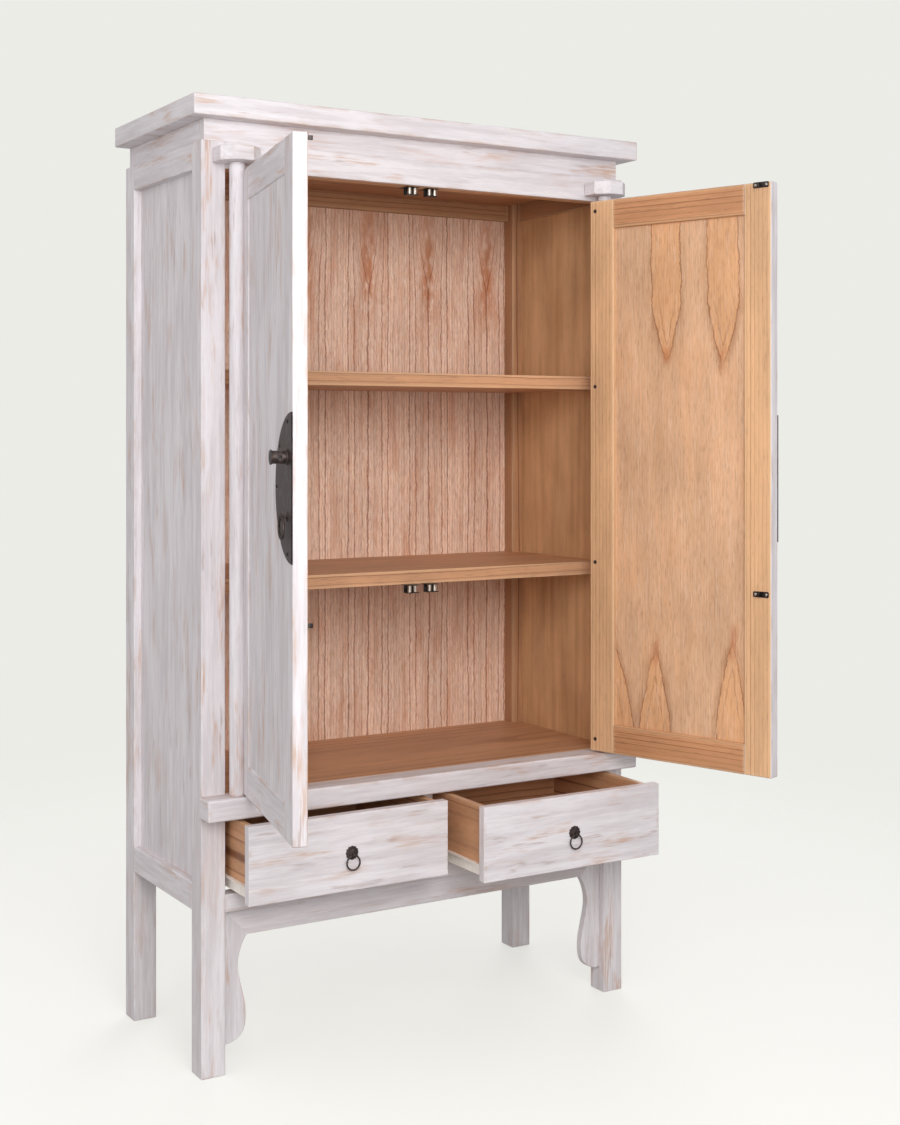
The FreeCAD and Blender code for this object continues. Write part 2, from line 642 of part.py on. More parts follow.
def strike(level):
    """A plate on the inner face, with two screws and a tapered tongue for the catch."""
    u = DOOR_FREE_EDGE - STRIKE_FROM_EDGE
    root = DOOR_INNER + STRIKE_THICK
    tip = root + STRIKE_TONGUE
    plate = eased(block((u - 18, u + 18), (DOOR_INNER, root), (level - 6, level + 6)), 2.5, ALONG_Y)
    outline = [Vector(u - 1.9, root), Vector(u + 1.9, root), Vector(u + 1.1, tip), Vector(u - 1.1, tip)]
    tongue = eased(prism(outline, ALONG_Z, level - 4, 8), 0.8, ALONG_Z, lambda centre: centre.y > tip - 1)
    heads = [domed_disc_inwards(Vector(u + side * 12.5, root, level)) for side in (-1, 1)]
    return joined([plate, tongue] + heads)


def closed_door():
    u_hinge = (DOOR_HINGE_EDGE, DOOR_HINGE_EDGE + DOOR_MEMBER)
    u_free = (DOOR_FREE_EDGE - DOOR_MEMBER, DOOR_FREE_EDGE)
    top_rail = door_rail((DOOR_TOP - DOOR_MEMBER, DOOR_TOP), (DOOR_TOP - 50, DOOR_TOP - 12), DOOR_TOP)
    bottom_rail = door_rail((DOOR_BOTTOM, DOOR_BOTTOM + DOOR_MEMBER), (DOOR_BOTTOM + 12, DOOR_BOTTOM + 50),
                            DOOR_BOTTOM)
    panel = door_panel()
    screws = door_screws()
    nails = lock_plate_nails()
    post = lock_post()
    eye = ring_staple()
    rails = [top_rail, bottom_rail]
    return {
        "pivot_dowel": [less(pivot_dowel(), screws)],
        "hinge_stile": [less(door_stile(u_hinge, DOOR_HINGE_EDGE), rails + [panel] + screws)],
        "lock_stile": [less(door_stile(u_free, DOOR_FREE_EDGE), rails + [panel, post, eye] + nails)],
        "door_rails": [rail.cut(panel) for rail in rails],
        "door_panel": [less(panel, nails)],
        "door_screws": screws,
        "lock_plate": [less(lock_plate(), [post, eye] + nails)] + nails,
        "lock_post": [post],
        "ring_staple": [eye],
        "pull_ring": [torus_ring(DOOR_RING_RADIUS, DOOR_RING_WIRE, door_ring_hang_point())],
        "strikes": [strike(level) for level in STRIKE_LEVELS],
    }


def hung(shape, side, degrees_open):
    """Takes a piece of the closed door to its place on the left or right, opened."""
    if side == "right":
        shape = mirrored(shape)
    turn = -degrees_open if side == "left" else degrees_open
    pivot_x = -PIVOT_X if side == "left" else PIVOT_X
    return shape.rotated(ORIGIN, ALONG_Z, turn).translated(Vector(pivot_x, PIVOT_Y, 0))


def doors():
    parts = {}
    for side, degrees_open in (("left", LEFT_DOOR_OPEN), ("right", RIGHT_DOOR_OPEN)):
        for name, solids in closed_door().items():
            parts[f"{side}_{name}"] = [hung(solid, side, degrees_open) for solid in solids]
    return parts


# Drawers, drawn closed on the left side

def drawer_opening():
    return -INNER, -DIVIDER_WIDTH / 2


def drawer_ring_hang_point():
    left, right = drawer_opening()
    return Vector((left + right) / 2, FRONT - DRAWER_RING_STANDOFF, DRAWER_RING_LEVEL)


def drawer_front():
    left, right = drawer_opening()
    gap = DRAWER_GAP
    y = (FRONT, FRONT + DRAWER_FRONT_THICK)
    board = block((left + gap, right - gap), y, (DRAWER_RAIL_TOP + gap, LEDGE_BOTTOM - 1.0))
    return eased(board, 1.5)


def drawer_box():
    """Two sides let into the front, a back and a thin bottom in grooves."""
    left, right = drawer_opening()
    outer = (left + SLIDE_SPACE, right - SLIDE_SPACE)
    inner = (outer[0] + DRAWER_SIDE_THICK, outer[1] - DRAWER_SIDE_THICK)
    y = (FRONT + DRAWER_FRONT_THICK, DRAWER_BOX_BACK)
    z = (DRAWER_BOX_BOTTOM, DRAWER_BOX_TOP)
    bottom_z = (DRAWER_BOTTOM_LEVEL, DRAWER_BOTTOM_LEVEL + DRAWER_BOTTOM_THICK)
    back_y = (y[1] - DRAWER_SIDE_THICK, y[1])
    bottom = block((inner[0] - 5, inner[1] + 5), (y[0], back_y[0] + 5), bottom_z)
    sides = [block(x, (y[0] - 6, y[1]), z) for x in ((outer[0], inner[0]), (inner[1], outer[1]))]
    sides = [eased(side, 1.5, ALONG_Y, lambda centre: centre.z > DRAWER_BOX_TOP - 1) for side in sides]
    rear = block((inner[0], inner[1]), back_y, z)
    rear = eased(rear, 1.5, ALONG_X, lambda centre: centre.z > DRAWER_BOX_TOP - 1)
    return [piece.cut(bottom) for piece in sides + [rear]] + [bottom]


def drawer_runner(face_x, outward):
    """The slide half on the drawer: a web on the side, a foot under it, a track and a roller."""
    def across(near, far):
        return sorted([face_x + outward * near, face_x + outward * far])
    y = (FRONT + DRAWER_FRONT_THICK, DRAWER_BOX_BACK)
    bottom = DRAWER_BOX_BOTTOM - SLIDE_SHEET
    top = bottom + SLIDE_RUNNER_HEIGHT
    web = block(across(0, SLIDE_SHEET), y, (bottom, top))
    foot = block(across(-DRAWER_SIDE_THICK, SLIDE_SHEET), y, (bottom, bottom + SLIDE_SHEET))
    track_y = (y[0], y[1] - 24)
    track = block(across(0, SLIDE_FLANGE), track_y, (top - SLIDE_SHEET, top))
    roller_x = across(SLIDE_SHEET, SLIDE_FLANGE)
    roller_centre = Vector(roller_x[0], y[1] - 11, bottom + 12.5)
    roller = rod(SLIDE_ROLLER_RADIUS, roller_centre, roller_x[1] - roller_x[0], ALONG_X)
    return joined([web, foot, track, roller])


def slide_channel(wall_x, inward):
    """The slide half on the cabinet: a channel with a roller at its mouth."""
    def across(near, far):
        return sorted([wall_x + inward * near, wall_x + inward * far])
    y = (FRONT + DRAWER_FRONT_THICK + 2, BACK_PANEL_Y[0] - RAIL_THICK - 2)
    z = (DRAWER_BOX_BOTTOM, DRAWER_BOX_BOTTOM + SLIDE_CHANNEL_HEIGHT)
    web = block(across(0, SLIDE_SHEET), y, z)
    low = block(across(0, SLIDE_FLANGE), y, (z[0], z[0] + SLIDE_SHEET))
    high_y = (y[0] + 30, y[1])
    high = block(across(0, SLIDE_FLANGE), high_y, (z[1] - SLIDE_SHEET, z[1]))
    roller_x = across(SLIDE_SHEET, SLIDE_FLANGE)
    roller_centre = Vector(roller_x[0], y[0] + 12, DRAWER_BOX_BOTTOM + 11.0)
    roller = rod(SLIDE_ROLLER_RADIUS, roller_centre, roller_x[1] - roller_x[0], ALONG_X)
    return joined([web, low, high, roller])


def ring_rosette():
    """The round boss on a drawer, with the eye for its ring."""
    hang = drawer_ring_hang_point()
    boss = domed_disc(ROSETTE_RADIUS, 1.0, 2.5, Vector(hang.x, FRONT, hang.z + 4))
    eye = lug((hang.x - 2, hang.x + 2), FRONT, hang.y, hang.z, 4.5, DRAWER_RING_WIRE + 0.7)
    shank = rod(2.5, Vector(hang.x, FRONT, hang.z + 4), 14, ALONG_Y)
    return joined([boss, eye, shank])


def closed_left_drawer():
    left, right = drawer_opening()
    box = drawer_box()
    rosette = ring_rosette()
    return {
        "drawer_front": [less(drawer_front(), box[:2] + [rosette])],
        "drawer_box": box,
        "drawer_runners": [drawer_runner(left + SLIDE_SPACE, -1), drawer_runner(right - SLIDE_SPACE, 1)],
        "drawer_rosette": [rosette],
        "drawer_ring": [torus_ring(DRAWER_RING_RADIUS, DRAWER_RING_WIRE, drawer_ring_hang_point())],
    }


def drawers():
    parts = {}
    for side, pulled_out in (("left", LEFT_DRAWER_OPEN), ("right", RIGHT_DRAWER_OPEN)):
        for name, solids in closed_left_drawer().items():
            if side == "right":
                solids = [mirrored(solid) for solid in solids]
            parts[f"{side}_{name}"] = [solid.translated(ALONG_Y * -pulled_out) for solid in solids]
    left, right = drawer_opening()
    channels = [slide_channel(left, 1), slide_channel(right, -1)]
    parts["slide_channels"] = channels + [mirrored(channel) for channel in channels]
    return parts


def main():
    os.makedirs("parts", exist_ok=True)
    parts = {**carcass(), **catches(), **doors(), **drawers()}
    for name, solids in parts.items():
        shape = solids[0] if len(solids) == 1 else Part.makeCompound(solids)
        shape.exportStep(f"parts/{name}.step")
    print(len(parts), "nodes")


main()
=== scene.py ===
import json
import math
import random

import bpy
import numpy as np
from mathutils import Matrix, Vector, noise


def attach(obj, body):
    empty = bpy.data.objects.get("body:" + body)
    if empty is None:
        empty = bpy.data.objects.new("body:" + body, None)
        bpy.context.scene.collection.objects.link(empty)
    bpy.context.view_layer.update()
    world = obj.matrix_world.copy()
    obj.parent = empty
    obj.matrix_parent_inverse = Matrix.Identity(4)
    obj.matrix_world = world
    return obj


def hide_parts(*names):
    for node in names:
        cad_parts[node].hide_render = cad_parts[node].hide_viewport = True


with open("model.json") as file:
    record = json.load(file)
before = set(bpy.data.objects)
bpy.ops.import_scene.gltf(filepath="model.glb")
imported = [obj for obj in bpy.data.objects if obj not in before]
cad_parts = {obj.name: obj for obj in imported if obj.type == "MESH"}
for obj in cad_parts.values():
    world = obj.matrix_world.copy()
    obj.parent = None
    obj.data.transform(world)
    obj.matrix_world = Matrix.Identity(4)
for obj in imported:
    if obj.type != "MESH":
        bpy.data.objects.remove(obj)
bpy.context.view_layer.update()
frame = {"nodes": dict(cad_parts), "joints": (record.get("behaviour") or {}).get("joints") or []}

# A whitewashed two-door cabinet, natural wood inside, with iron pulls and two drawers on slides.
#
# Metres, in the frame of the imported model. Every wooden piece is a board with grain coordinates
# of its own, so that the grain runs along each board and differs from its neighbour's.
# A piece carries these values at its points:
#   grain  a place in the log it was sawn from: along the grain, and two distances from the pith
#   brush  the same for the brush strokes, which run across the ends of a board
#   spot   a place on the piece: along, across and through, from its middle
#   edge   1 on its rounded edges, 0 on its faces
#   bare   1 on faces that were never painted, 0 on whitewashed ones
#   inside how far in from each limit of the unpainted wood, below 0 outside it

MM = 0.001
AXES = "xyz"
CARCASS = "carcass"
SIDES = {"left": -1, "right": 1}
EASE = 2 * MM              # rounding of the edges of the carcass
DOOR_EASE = 3 * MM         # and of the doors
CRISP = 0.4 * MM           # an edge left as the saw made it
WEAR = 6 * MM              # how far the wear of an edge reaches into a face
GROOVE = 4 * MM            # how far a panel sits in the groove around it
SAND_WAVE = 0.25 * MM      # how far hand-planed faces stray from flat
SHARP = math.radians(38)   # metal turns sharper than this aren't shaded as smooth
QUARTER_TURN = Matrix.Rotation(math.pi / 2, 4, "Z")
ALL_FACES = "+x -x +y -y +z -z"

# Driving dimensions of the ironwork and the drawers
PLATE_THICK = 2 * MM
NAIL_FROM_RIM = 12 * MM
NAIL_RADIUS = 3.5 * MM
NAILS = 5
FIRST_NAIL, NAIL_STEP = 15, 37.5     # degrees round the lock plate, from its foot
PADLOCK_HOLE = 4.5 * MM
SCREW_RADIUS = 4.2 * MM
STRIKE_PLATE = 1.5 * MM
STRIKE_SCREW_GAP = 12.5 * MM         # from the middle of a strike to each of its screws
TONGUE_HALF = 4 * MM       # half the height of a strike's tongue
DRAWER_SIDE = 12 * MM      # thickness of the sides and back of a drawer
DRAWER_BOTTOM = 6 * MM
BOTTOM_GROOVE = 10 * MM    # of a drawer's bottom, above the foot of its sides

# The figure in the wood
LEAF = 163 * MM            # width of the repeated leaves of the back veneer
FIRST_APEX = 77 * MM       # of a V of the veneer, from the middle of the cabinet
APEX_LEVEL = 215 * MM      # of the Vs, above the upper shelf
PLAIN_WHITE = (1.0, 1.0, 1.0, 1.0)
FAR_PITH = 0.9             # a pith this far off leaves nearly straight lines

noise.seed_set(1)          # the same waviness in every run


# Shader nodes

class Value:
    """The output of a shader node. Plain arithmetic on it adds nodes."""

    def __init__(self, socket):
        self.socket = socket

    def __add__(self, other):
        return calc("ADD", self, other)

    def __sub__(self, other):
        return calc("SUBTRACT", self, other)

    def __mul__(self, other):
        return calc("MULTIPLY", self, other)

    def __truediv__(self, other):
        return calc("DIVIDE", self, other)

    __radd__ = __add__
    __rmul__ = __mul__


def put(kind, inputs, output=0, tree=None, **settings):
    """Adds a shader node beside its inputs, which are numbers, colours and Values."""
    tree = tree or next(value.socket.id_data for value in inputs.values() if isinstance(value, Value))
    made = tree.nodes.new("ShaderNode" + kind)
    for name, value in settings.items():
        setattr(made, name, value)
    for name, value in inputs.items():
        if isinstance(value, Value):
            tree.links.new(value.socket, made.inputs[name])
        else:
            made.inputs[name].default_value = value
    return Value(made.outputs[output])


def connect(value, shader, name):
    value.socket.id_data.links.new(value.socket, shader.inputs[name])


def calc(operation, *values):
    return put("Math", dict(enumerate(values)), operation=operation)


def vector_calc(operation, *values):
    return put("VectorMath", dict(enumerate(values)), operation=operation)


def step(value, low, high, out_low=0.0, out_high=1.0):
    """A smooth step from out_low at low to out_high at high."""
    inputs = {0: value, 1: low, 2: high, 3: out_low, 4: out_high}
    return put("MapRange", inputs, interpolation_type="SMOOTHSTEP")


def blended(share, first, second, blend="MIX"):
    return put("Mix", {0: share, 6: first, 7: second}, 2, data_type="RGBA", blend_type=blend)


def grey(value):
    return put("CombineColor", {0: value, 1: value, 2: value})


def cloud(place, waves, detail=2.0, output="Fac"):
    """Noise with its own number of waves per metre along, across and through."""
    stretched = vector_calc("MULTIPLY", place, waves)
    inputs = {"Vector": stretched, "Scale": 1.0, "Detail": detail, "Roughness": 0.55}
    return put("TexNoise", inputs, output)


def streaks(place, along, across, detail=2.0):
    """Noise drawn out along the grain."""
    return cloud(place, (along, across, across), detail)


def ramp(value, stops):
    made = put("ValToRGB", {0: value})
    elements = made.socket.node.color_ramp.elements
    elements.remove(elements[1])
    elements[0].position, elements[0].color = stops[0]
    for position, colour in stops[1:]:
        elements.new(position).color = colour
    return made


def rgb(red, green, blue):
    """A display colour of 0 to 255 a channel as a linear one."""
    linear = []
    for channel in (red, green, blue):
        share = channel / 255
        linear.append(share / 12.92 if share <= 0.04045 else ((share + 0.055) / 1.055) ** 2.4)
    return (*linear, 1.0)


def toned(light, dark, share):
    """A colour that is part way from light to dark."""
    return tuple((1 - share) * a + share * b for a, b in zip(light, dark))


def new_material(name):
    material = bpy.data.materials.new(name)
    material.use_nodes = True
    tree = material.node_tree
    return material, tree, tree.nodes["Principled BSDF"]


def carried(tree, name, output="Vector"):
    """A value that the points of the piece carry."""
    return put("Attribute", {}, output, tree, attribute_name=name)


def parts_of(vector):
    return [Value(socket) for socket in put("SeparateXYZ", {0: vector}).socket.node.outputs]


# Natural wood

def growth_lines(distance, light, dark, line_share=0.05):
    """Colour across growth rings, from a distance counted in rings. Some years are darker."""
    phase = calc("FRACT", distance)
    year = put("TexWhiteNoise", {"W": calc("FLOOR", distance)}, "Value", noise_dimensions="1D")
    late = toned(light, dark, 0.28)
    line = ramp(phase, [(0.0, dark), (line_share, dark), (line_share * 3, light), (0.7, light), (1.0, late)])
    return blended(step(year, 0.0, 0.9, 0.15, 0.95), toned(light, dark, 0.08), line)


def fibres(place, colour, pore_share=0.22, cloudy=0.12):
    """Adds fibres, pores and soft clouds to a wood colour. Returns the colour and a height."""
    fibre = streaks(place, 5.0, 420.0, 3.0)
    pores = step(streaks(place, 34.0, 700.0, 1.0), 0.58, 0.7)
    soft = streaks(place, 3.0, 12.0, 3.0)
    shade = 0.86 + fibre * 0.3 + pores * -pore_share + step(soft, 0.3, 0.7, -cloudy, cloudy)
    return blended(1.0, colour, grey(shade), "MULTIPLY"), fibre * 0.5 - pores


def wandering(place, amount, along=1.6, across=6.0):
    """A place pushed sideways by soft noise, so that the growth lines wander."""
    drift = cloud(place, (along, across, across), 2.0, "Color")
    drift = vector_calc("SUBTRACT", drift, (0.5, 0.5, 0.5))
    return vector_calc("ADD", place, vector_calc("MULTIPLY", drift, (0.0, amount, amount)))


def plain_sawn(light, dark, ring, wander):
    """Wood with growth rings about the pith."""
    def build(place, spot):
        _, aside, through = parts_of(wandering(place, wander))
        distance = calc("SQRT", aside * aside + through * through) / ring
        return fibres(place, growth_lines(distance, light, dark))
    return build


def quiet(light, dark):
    """Close-grained wood: faint streaks and clouds, with no lines."""
    def build(place, spot):
        streak = step(streaks(place, 2.0, 60.0, 3.0), 0.35, 0.7)
        mottle = step(streaks(place, 5.0, 9.0, 3.0), 0.4, 0.68)
        return fibres(place, blended(streak * 0.35 + mottle * 0.35, light, dark), 0.14)
    return build


def slip_matched(light, dark, glow, ring, apex_height):
    """Veneer in repeated leaves. Its thin lines run straight up, and open into narrow Vs at the apexes."""
    def build(place, spot):
        loose = wandering(spot, 0.014, 2.5, 9.0)
        fine = wandering(wandering(loose, 0.006, 16.0, 40.0), 0.005, 90.0, 110.0)
        along, across, _ = parts_of(fine)
        centred = calc("PINGPONG", across - (FIRST_APEX - 8 * LEAF), LEAF / 2)
        rise = calc("MAXIMUM", along - apex_height, 0.0)
        lines = centred - rise * step(centred, 12 * MM, 52 * MM, 1.0, 0.0) * 0.24
        pale = step(streaks(place, 60.0, 420.0, 2.0), 0.46, 0.64)
        colour = blended(pale * 0.6, light, rgb(246, 228, 214))
        shadow = step(streaks(place, 50.0, 520.0, 2.0), 0.5, 0.66)
        colour = blended(shadow * 0.34, colour, dark)
        warmth = step(streaks(spot, 5.0, 38.0, 3.0), 0.45, 0.7)
        colour = blended(warmth * 0.4, colour, glow)
        core = (step(centred, 4 * MM, 32 * MM, 1.0, 0.0)
                * step(along, apex_height - 0.14, apex_height + 0.01)
                * step(along, apex_height + 0.05, apex_height + 0.2, 1.0, 0.45)
                * step(streaks(spot, 26.0, 70.0, 3.0), 0.32, 0.56))
        colour = blended(core * 0.85, colour, glow)
        for rings, share in ((1.0, 0.8), (0.43, 0.5)):
            drawn = growth_lines(lines / (ring * rings), PLAIN_WHITE, dark, 0.06)
            colour = blended(share, colour, drawn, "MULTIPLY")
        return fibres(place, colour, 0.14, 0.07)
    return build


def arched(light, dark, width, height):
    """A wide board: close straight pores, with arches in the grain at its top and its foot.
    Each arch: its middle across the board, its reach, from which end, its half width and its taper."""
    arches = ((0.092, 0.3, 1, 37 * MM, 0.12), (-0.315, 0.31, 1, 37 * MM, 0.13),
              (0.177, 0.177, -1, 45 * MM, 0.19), (-0.378, 0.206, -1, 38 * MM, 0.17),
              (0.5, 0.19, -1, 60 * MM, 0.2))
    filling = rgb(220, 166, 120)

    def build(place, spot):
        loose = wandering(wandering(spot, 0.02, 3.5, 8.0), 0.011, 22.0, 30.0)
        along, across, _ = parts_of(wandering(loose, 0.008, 90.0, 90.0))
        lines = plain_sawn(light, dark, 7 * MM, 0.006)(place, spot)[0]
        colour = blended(0.25, light, lines)
        pale = step(streaks(place, 20.0, 330.0, 2.0), 0.5, 0.72)
        blotches = step(streaks(spot, 22.0, 60.0, 4.0), 0.38, 0.58)
        for share, reach, end, breadth, taper in arches:
            from_tip = (along - end * (height / 2 - reach)) * end
            widening = calc("POWER", calc("MAXIMUM", from_tip / taper, 0.0), 0.68)
            aside = calc("ABSOLUTE", across - share * width)
            beyond = aside - calc("MINIMUM", widening, 1.0) * breadth
            started = step(from_tip, 0.0, 8 * MM)
            smear = (step(beyond, 0.0, 18 * MM, 0.42, 0.0) * step(from_tip, -30 * MM, 5 * MM)
                     * step(from_tip, taper * 0.6, taper * 1.4, 1.0, 0.2))
            colour = blended(smear, colour, dark)
            inner = step(beyond, -1 * MM, 0.0, 1.0, 0.0) * started
            colour = blended(inner, colour, blended(0.2, filling, lines))
            edge = step(calc("ABSOLUTE", beyond), 0.5 * MM, 2.4 * MM, 0.8, 0.0) * started
            colour = blended(edge, colour, dark)
            nested = (step(calc("ABSOLUTE", beyond + 0.42 * breadth), 0.4 * MM, 2 * MM, 0.5, 0.0) * started
                      * step(from_tip, taper * 0.5, taper * 1.3, 1.0, 0.0))
            colour = blended(nested, colour, dark)
            stain = (step(from_tip, -70 * MM, -5 * MM) * step(from_tip, 10 * MM, 45 * MM, 1.0, 0.0)
                     * step(aside, 3 * MM, 17 * MM, 0.7, 0.0) * blotches)
            colour = blended(stain, colour, rgb(186, 116, 74))
        flecks = step(streaks(place, 45.0, 300.0, 3.0), 0.5, 0.66)
        clouds = step(streaks(spot, 6.0, 22.0, 4.0), 0.48, 0.7)
        colour = blended(pale * 0.36, colour, rgb(232, 206, 184))
        colour = blended(flecks * 0.24, colour, dark)
        colour = blended(clouds * 0.3, colour, filling)
        return fibres(place, colour, 0.16, 0.1)
    return build


# Whitewash

def rubbed_paint(place, edge):
    """Brushed white paint, thin in streaks and rubbed back to the wood in long patches and on edges."""
    brush = streaks(place, 7.0, 110.0, 4.0)
    broad = streaks(place, 3.0, 18.0, 3.0)
    thin = step(brush * 0.5 + broad * 0.5, 0.4, 0.62)
    paint = blended(thin * 0.46, rgb(228, 223, 226), rgb(186, 177, 179))
    bristle = step(streaks(place, 30.0, 620.0, 3.0), 0.42, 0.6)
    scratch = step(streaks(place, 16.0, 300.0, 4.0), 0.36, 0.6)
    patch = step(streaks(place, 6.5, 34.0, 3.0), 0.52, 0.68)
    dark_patch = step(streaks(place, 10.0, 65.0, 3.0), 0.58, 0.72)
    zone = step(streaks(place, 2.2, 7.0, 2.0), 0.4, 0.62, 0.36, 1.0)
    corner = edge * step(streaks(place, 12.0, 30.0, 3.0), 0.48, 0.66)
    paint = blended(bristle * 0.12, paint, rgb(170, 158, 160))
    paint = blended(patch * scratch * zone * 0.86, paint, rgb(198, 163, 141))
    paint = blended(dark_patch * scratch * zone * 0.48, paint, rgb(150, 120, 108))
    paint = blended(corner * 0.5, paint, rgb(190, 160, 142))
    return paint, streaks(place, 8.0, 380.0, 3.0) - patch * scratch * 0.6


def wood(name, natural):
    """Whitewash over wood that shows where it was never painted."""
    material, tree, shader = new_material(name)
    place = carried(tree, "grain")
    edge = carried(tree, "edge", "Fac")
    colour, height = natural(place, carried(tree, "spot"))
    # Natural wood is lighter on its rounded edges: partly wear, partly a painted highlight where the arris
    # catches the light.
    colour = blended(edge * 0.3, colour, rgb(232, 200, 160))
    paint, paint_height = rubbed_paint(carried(tree, "brush"), edge)
    ragged = streaks(place, 30.0, 160.0) * 0.3
    bare = step(carried(tree, "bare", "Fac") + ragged, 0.55, 0.75)
    limits = parts_of(carried(tree, "inside"))
    nearest = calc("MINIMUM", calc("MINIMUM", limits[0], limits[1]), limits[2])
    bare = bare * step(nearest, -0.3 * MM, 0.6 * MM)
    connect(blended(bare, paint, colour), shader, "Base Color")
    height = put("Mix", {0: bare, 2: paint_height, 3: height}, data_type="FLOAT")
    connect(put("Bump", {"Height": height, "Strength": 0.25, "Distance": 0.35 * MM}), shader, "Normal")
    connect(step(bare, 0.0, 1.0, 0.62, 0.48), shader, "Roughness")
    return material


# Metal and enamel

def hard(name, colour, worn, roughness, metallic):
    """Metal or enamel with a cloudy, slightly pitted surface."""
    material, tree, shader = new_material(name)
    place = put("TexCoord", {}, "Object", tree)
    mottle = cloud(place, (95.0, 95.0, 70.0), 5.0)
    connect(blended(step(mottle, 0.4, 0.68), colour, worn), shader, "Base Color")
    shader.inputs["Metallic"].default_value = metallic
    connect(step(mottle, 0.3, 0.7, roughness, roughness + 0.2), shader, "Roughness")
    dimples, pits = streaks(place, 75.0, 75.0, 1.0), streaks(place, 420.0, 420.0, 3.0)
    height = dimples * 1.6 + pits * 0.4
    connect(put("Bump", {"Height": height, "Strength": 0.35, "Distance": 0.6 * MM}), shader, "Normal")
    return material


def make_materials():
    honey = rgb(220, 176, 134), rgb(148, 92, 54)
    orange = rgb(199, 144, 102), rgb(138, 84, 52)
    brown = rgb(200, 150, 112), rgb(134, 84, 54)
    # Umber: partly a darker wood, partly painted shade, for the parts deep in the cabinet: the back posts,
    # the back and side rails and the ceiling board.
    umber_with_painted_shade = rgb(176, 130, 94), rgb(118, 76, 50)
    tan = rgb(217, 174, 138), rgb(150, 96, 58)
    rosy = rgb(237, 203, 178), rgb(156, 88, 56)
    panel_low, panel_high = solid("back_panel")
    apex = solid("upper_shelf")[1].z + APEX_LEVEL - (panel_low.z + panel_high.z) / 2
    door_low, door_high = solid("right_door_panel", closed_place("right"))
    door = door_high - door_low
    return {
        "white": wood("whitewash_on_honey_wood", plain_sawn(*honey, 9 * MM, 0.008)),
        "white_orange": wood("whitewash_on_orange_wood", plain_sawn(*orange, 11 * MM, 0.01)),
        "white_panel": wood("whitewash_on_wide_board", arched(*tan, door.x, door.z)),
        "white_quiet": wood("whitewash_on_quiet_wood", quiet(rgb(214, 171, 127), rgb(172, 126, 84))),
        "white_umber_with_painted_shade": wood("whitewash_on_dark_wood", plain_sawn(*umber_with_painted_shade, 10 * MM, 0.012)),
        "brown": wood("brown_wood", plain_sawn(*brown, 14 * MM, 0.02)),
        "veneer": wood("matched_veneer", slip_matched(*rosy, rgb(200, 130, 88), 17 * MM, apex)),
        "iron": hard("blackened_iron", rgb(60, 51, 49), rgb(92, 79, 75), 0.4, 0.6),
        "steel": hard("dark_steel_sheet", rgb(52, 48, 47), rgb(88, 82, 80), 0.35, 0.8),
        "zinc": hard("zinc_screw", rgb(176, 168, 158), rgb(206, 200, 190), 0.3, 0.9),
        "enamel": hard("cream_enamel", rgb(238, 231, 222), rgb(246, 241, 234), 0.35, 0.0),
    }


# Reading the frame

def joint(name):
    return next(item for item in frame["joints"] if item["name"] == name)


def closed_place(side):
    """The matrix that takes a door's pieces from rest to closed."""
    hinge = joint(f"{side}_door_hinge")
    pivot = Matrix.Translation(hinge["pos_m"])
    return pivot @ Matrix.Rotation(math.radians(hinge["range_deg"][0]), 4, hinge["axis"]) @ pivot.inverted()


def moved(points, place):
    matrix = np.array(place or Matrix())
    return np.asarray(points) @ matrix[:3, :3].T + matrix[:3, 3]


def turned_by(directions, place):
    return np.asarray(directions) @ np.array(place or Matrix())[:3, :3].T


def node_points(node, place=None):
    mesh = frame["nodes"][node].data
    flat = np.empty(len(mesh.vertices) * 3)
    mesh.vertices.foreach_get("co", flat)
    return moved(flat.reshape(-1, 3), place)


def solids(node, place=None):
    """The box of each separate solid of a node, from left to right, front to back and bottom to top."""
    points = node_points(node, place)
    keys = [tuple(key) for key in np.round(node_points(node), 5)]
    parent = {key: key for key in keys}

    def root(key):
        while parent[key] != key:
            parent[key] = parent[parent[key]]
            key = parent[key]
        return key

    for polygon in frame["nodes"][node].data.polygons:
        for index in polygon.vertices[1:]:
            parent[root(keys[index])] = root(keys[polygon.vertices[0]])
    groups = {}
    for key, point in zip(keys, points):
        groups.setdefault(root(key), []).append(point)
    boxes = [(Vector(np.min(group, 0)), Vector(np.max(group, 0))) for group in groups.values()]
    return sorted(boxes, key=lambda box: [round(value, 4) for value in box[0]])


def solid(node, place=None):
    """The box of a whole node."""
    points = node_points(node, place)
    return Vector(points.min(0)), Vector(points.max(0))


def from_below(boxes):
    return sorted(boxes, key=lambda box: box[0].z)


def within(box, **ranges):
    """A box with other limits along the named axes."""
    low, high = box[0].copy(), box[1].copy()
    for axis, limits in ranges.items():
        low[AXES.index(axis)], high[AXES.index(axis)] = limits
    return low, high


def between(first, second):
    return (first + second) / 2


# Meshes

def shown(name, data):
    """A new object in the scene."""
    made = bpy.data.objects.new(name, data)
    bpy.context.scene.collection.objects.link(made)
    return made


def new_mesh(name, points, faces):
    mesh = bpy.data.meshes.new(name)
    mesh.from_pydata([tuple(point) for point in points], [], faces)
    return mesh


def make_piece(name, body, points, faces, material, normals=None, carried_values=None, nodes=(),
               place=None):
    """A mesh drawn in a frame that place takes to rest, riding on a body and standing for CAD nodes."""
    mesh = new_mesh(name, moved(points, place), faces)
    for label, values in (carried_values or {}).items():
        values = np.asarray(values, np.float32)
        is_vector = values.ndim == 2
        layer = mesh.attributes.new(label, "FLOAT_VECTOR" if is_vector else "FLOAT", "POINT")
        layer.data.foreach_set("vector" if is_vector else "value", values.ravel())
    mesh.shade_smooth()
    if normals is None:
        mesh.set_sharp_from_angle(angle=SHARP)
    else:
        mesh.normals_split_custom_set_from_vertices([tuple(normal) for normal in turned_by(normals, place)])
    mesh.materials.append(MATERIALS[material])
    piece = shown(name, mesh)
    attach(piece, body)
    if nodes:
        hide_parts(*nodes)
    return piece


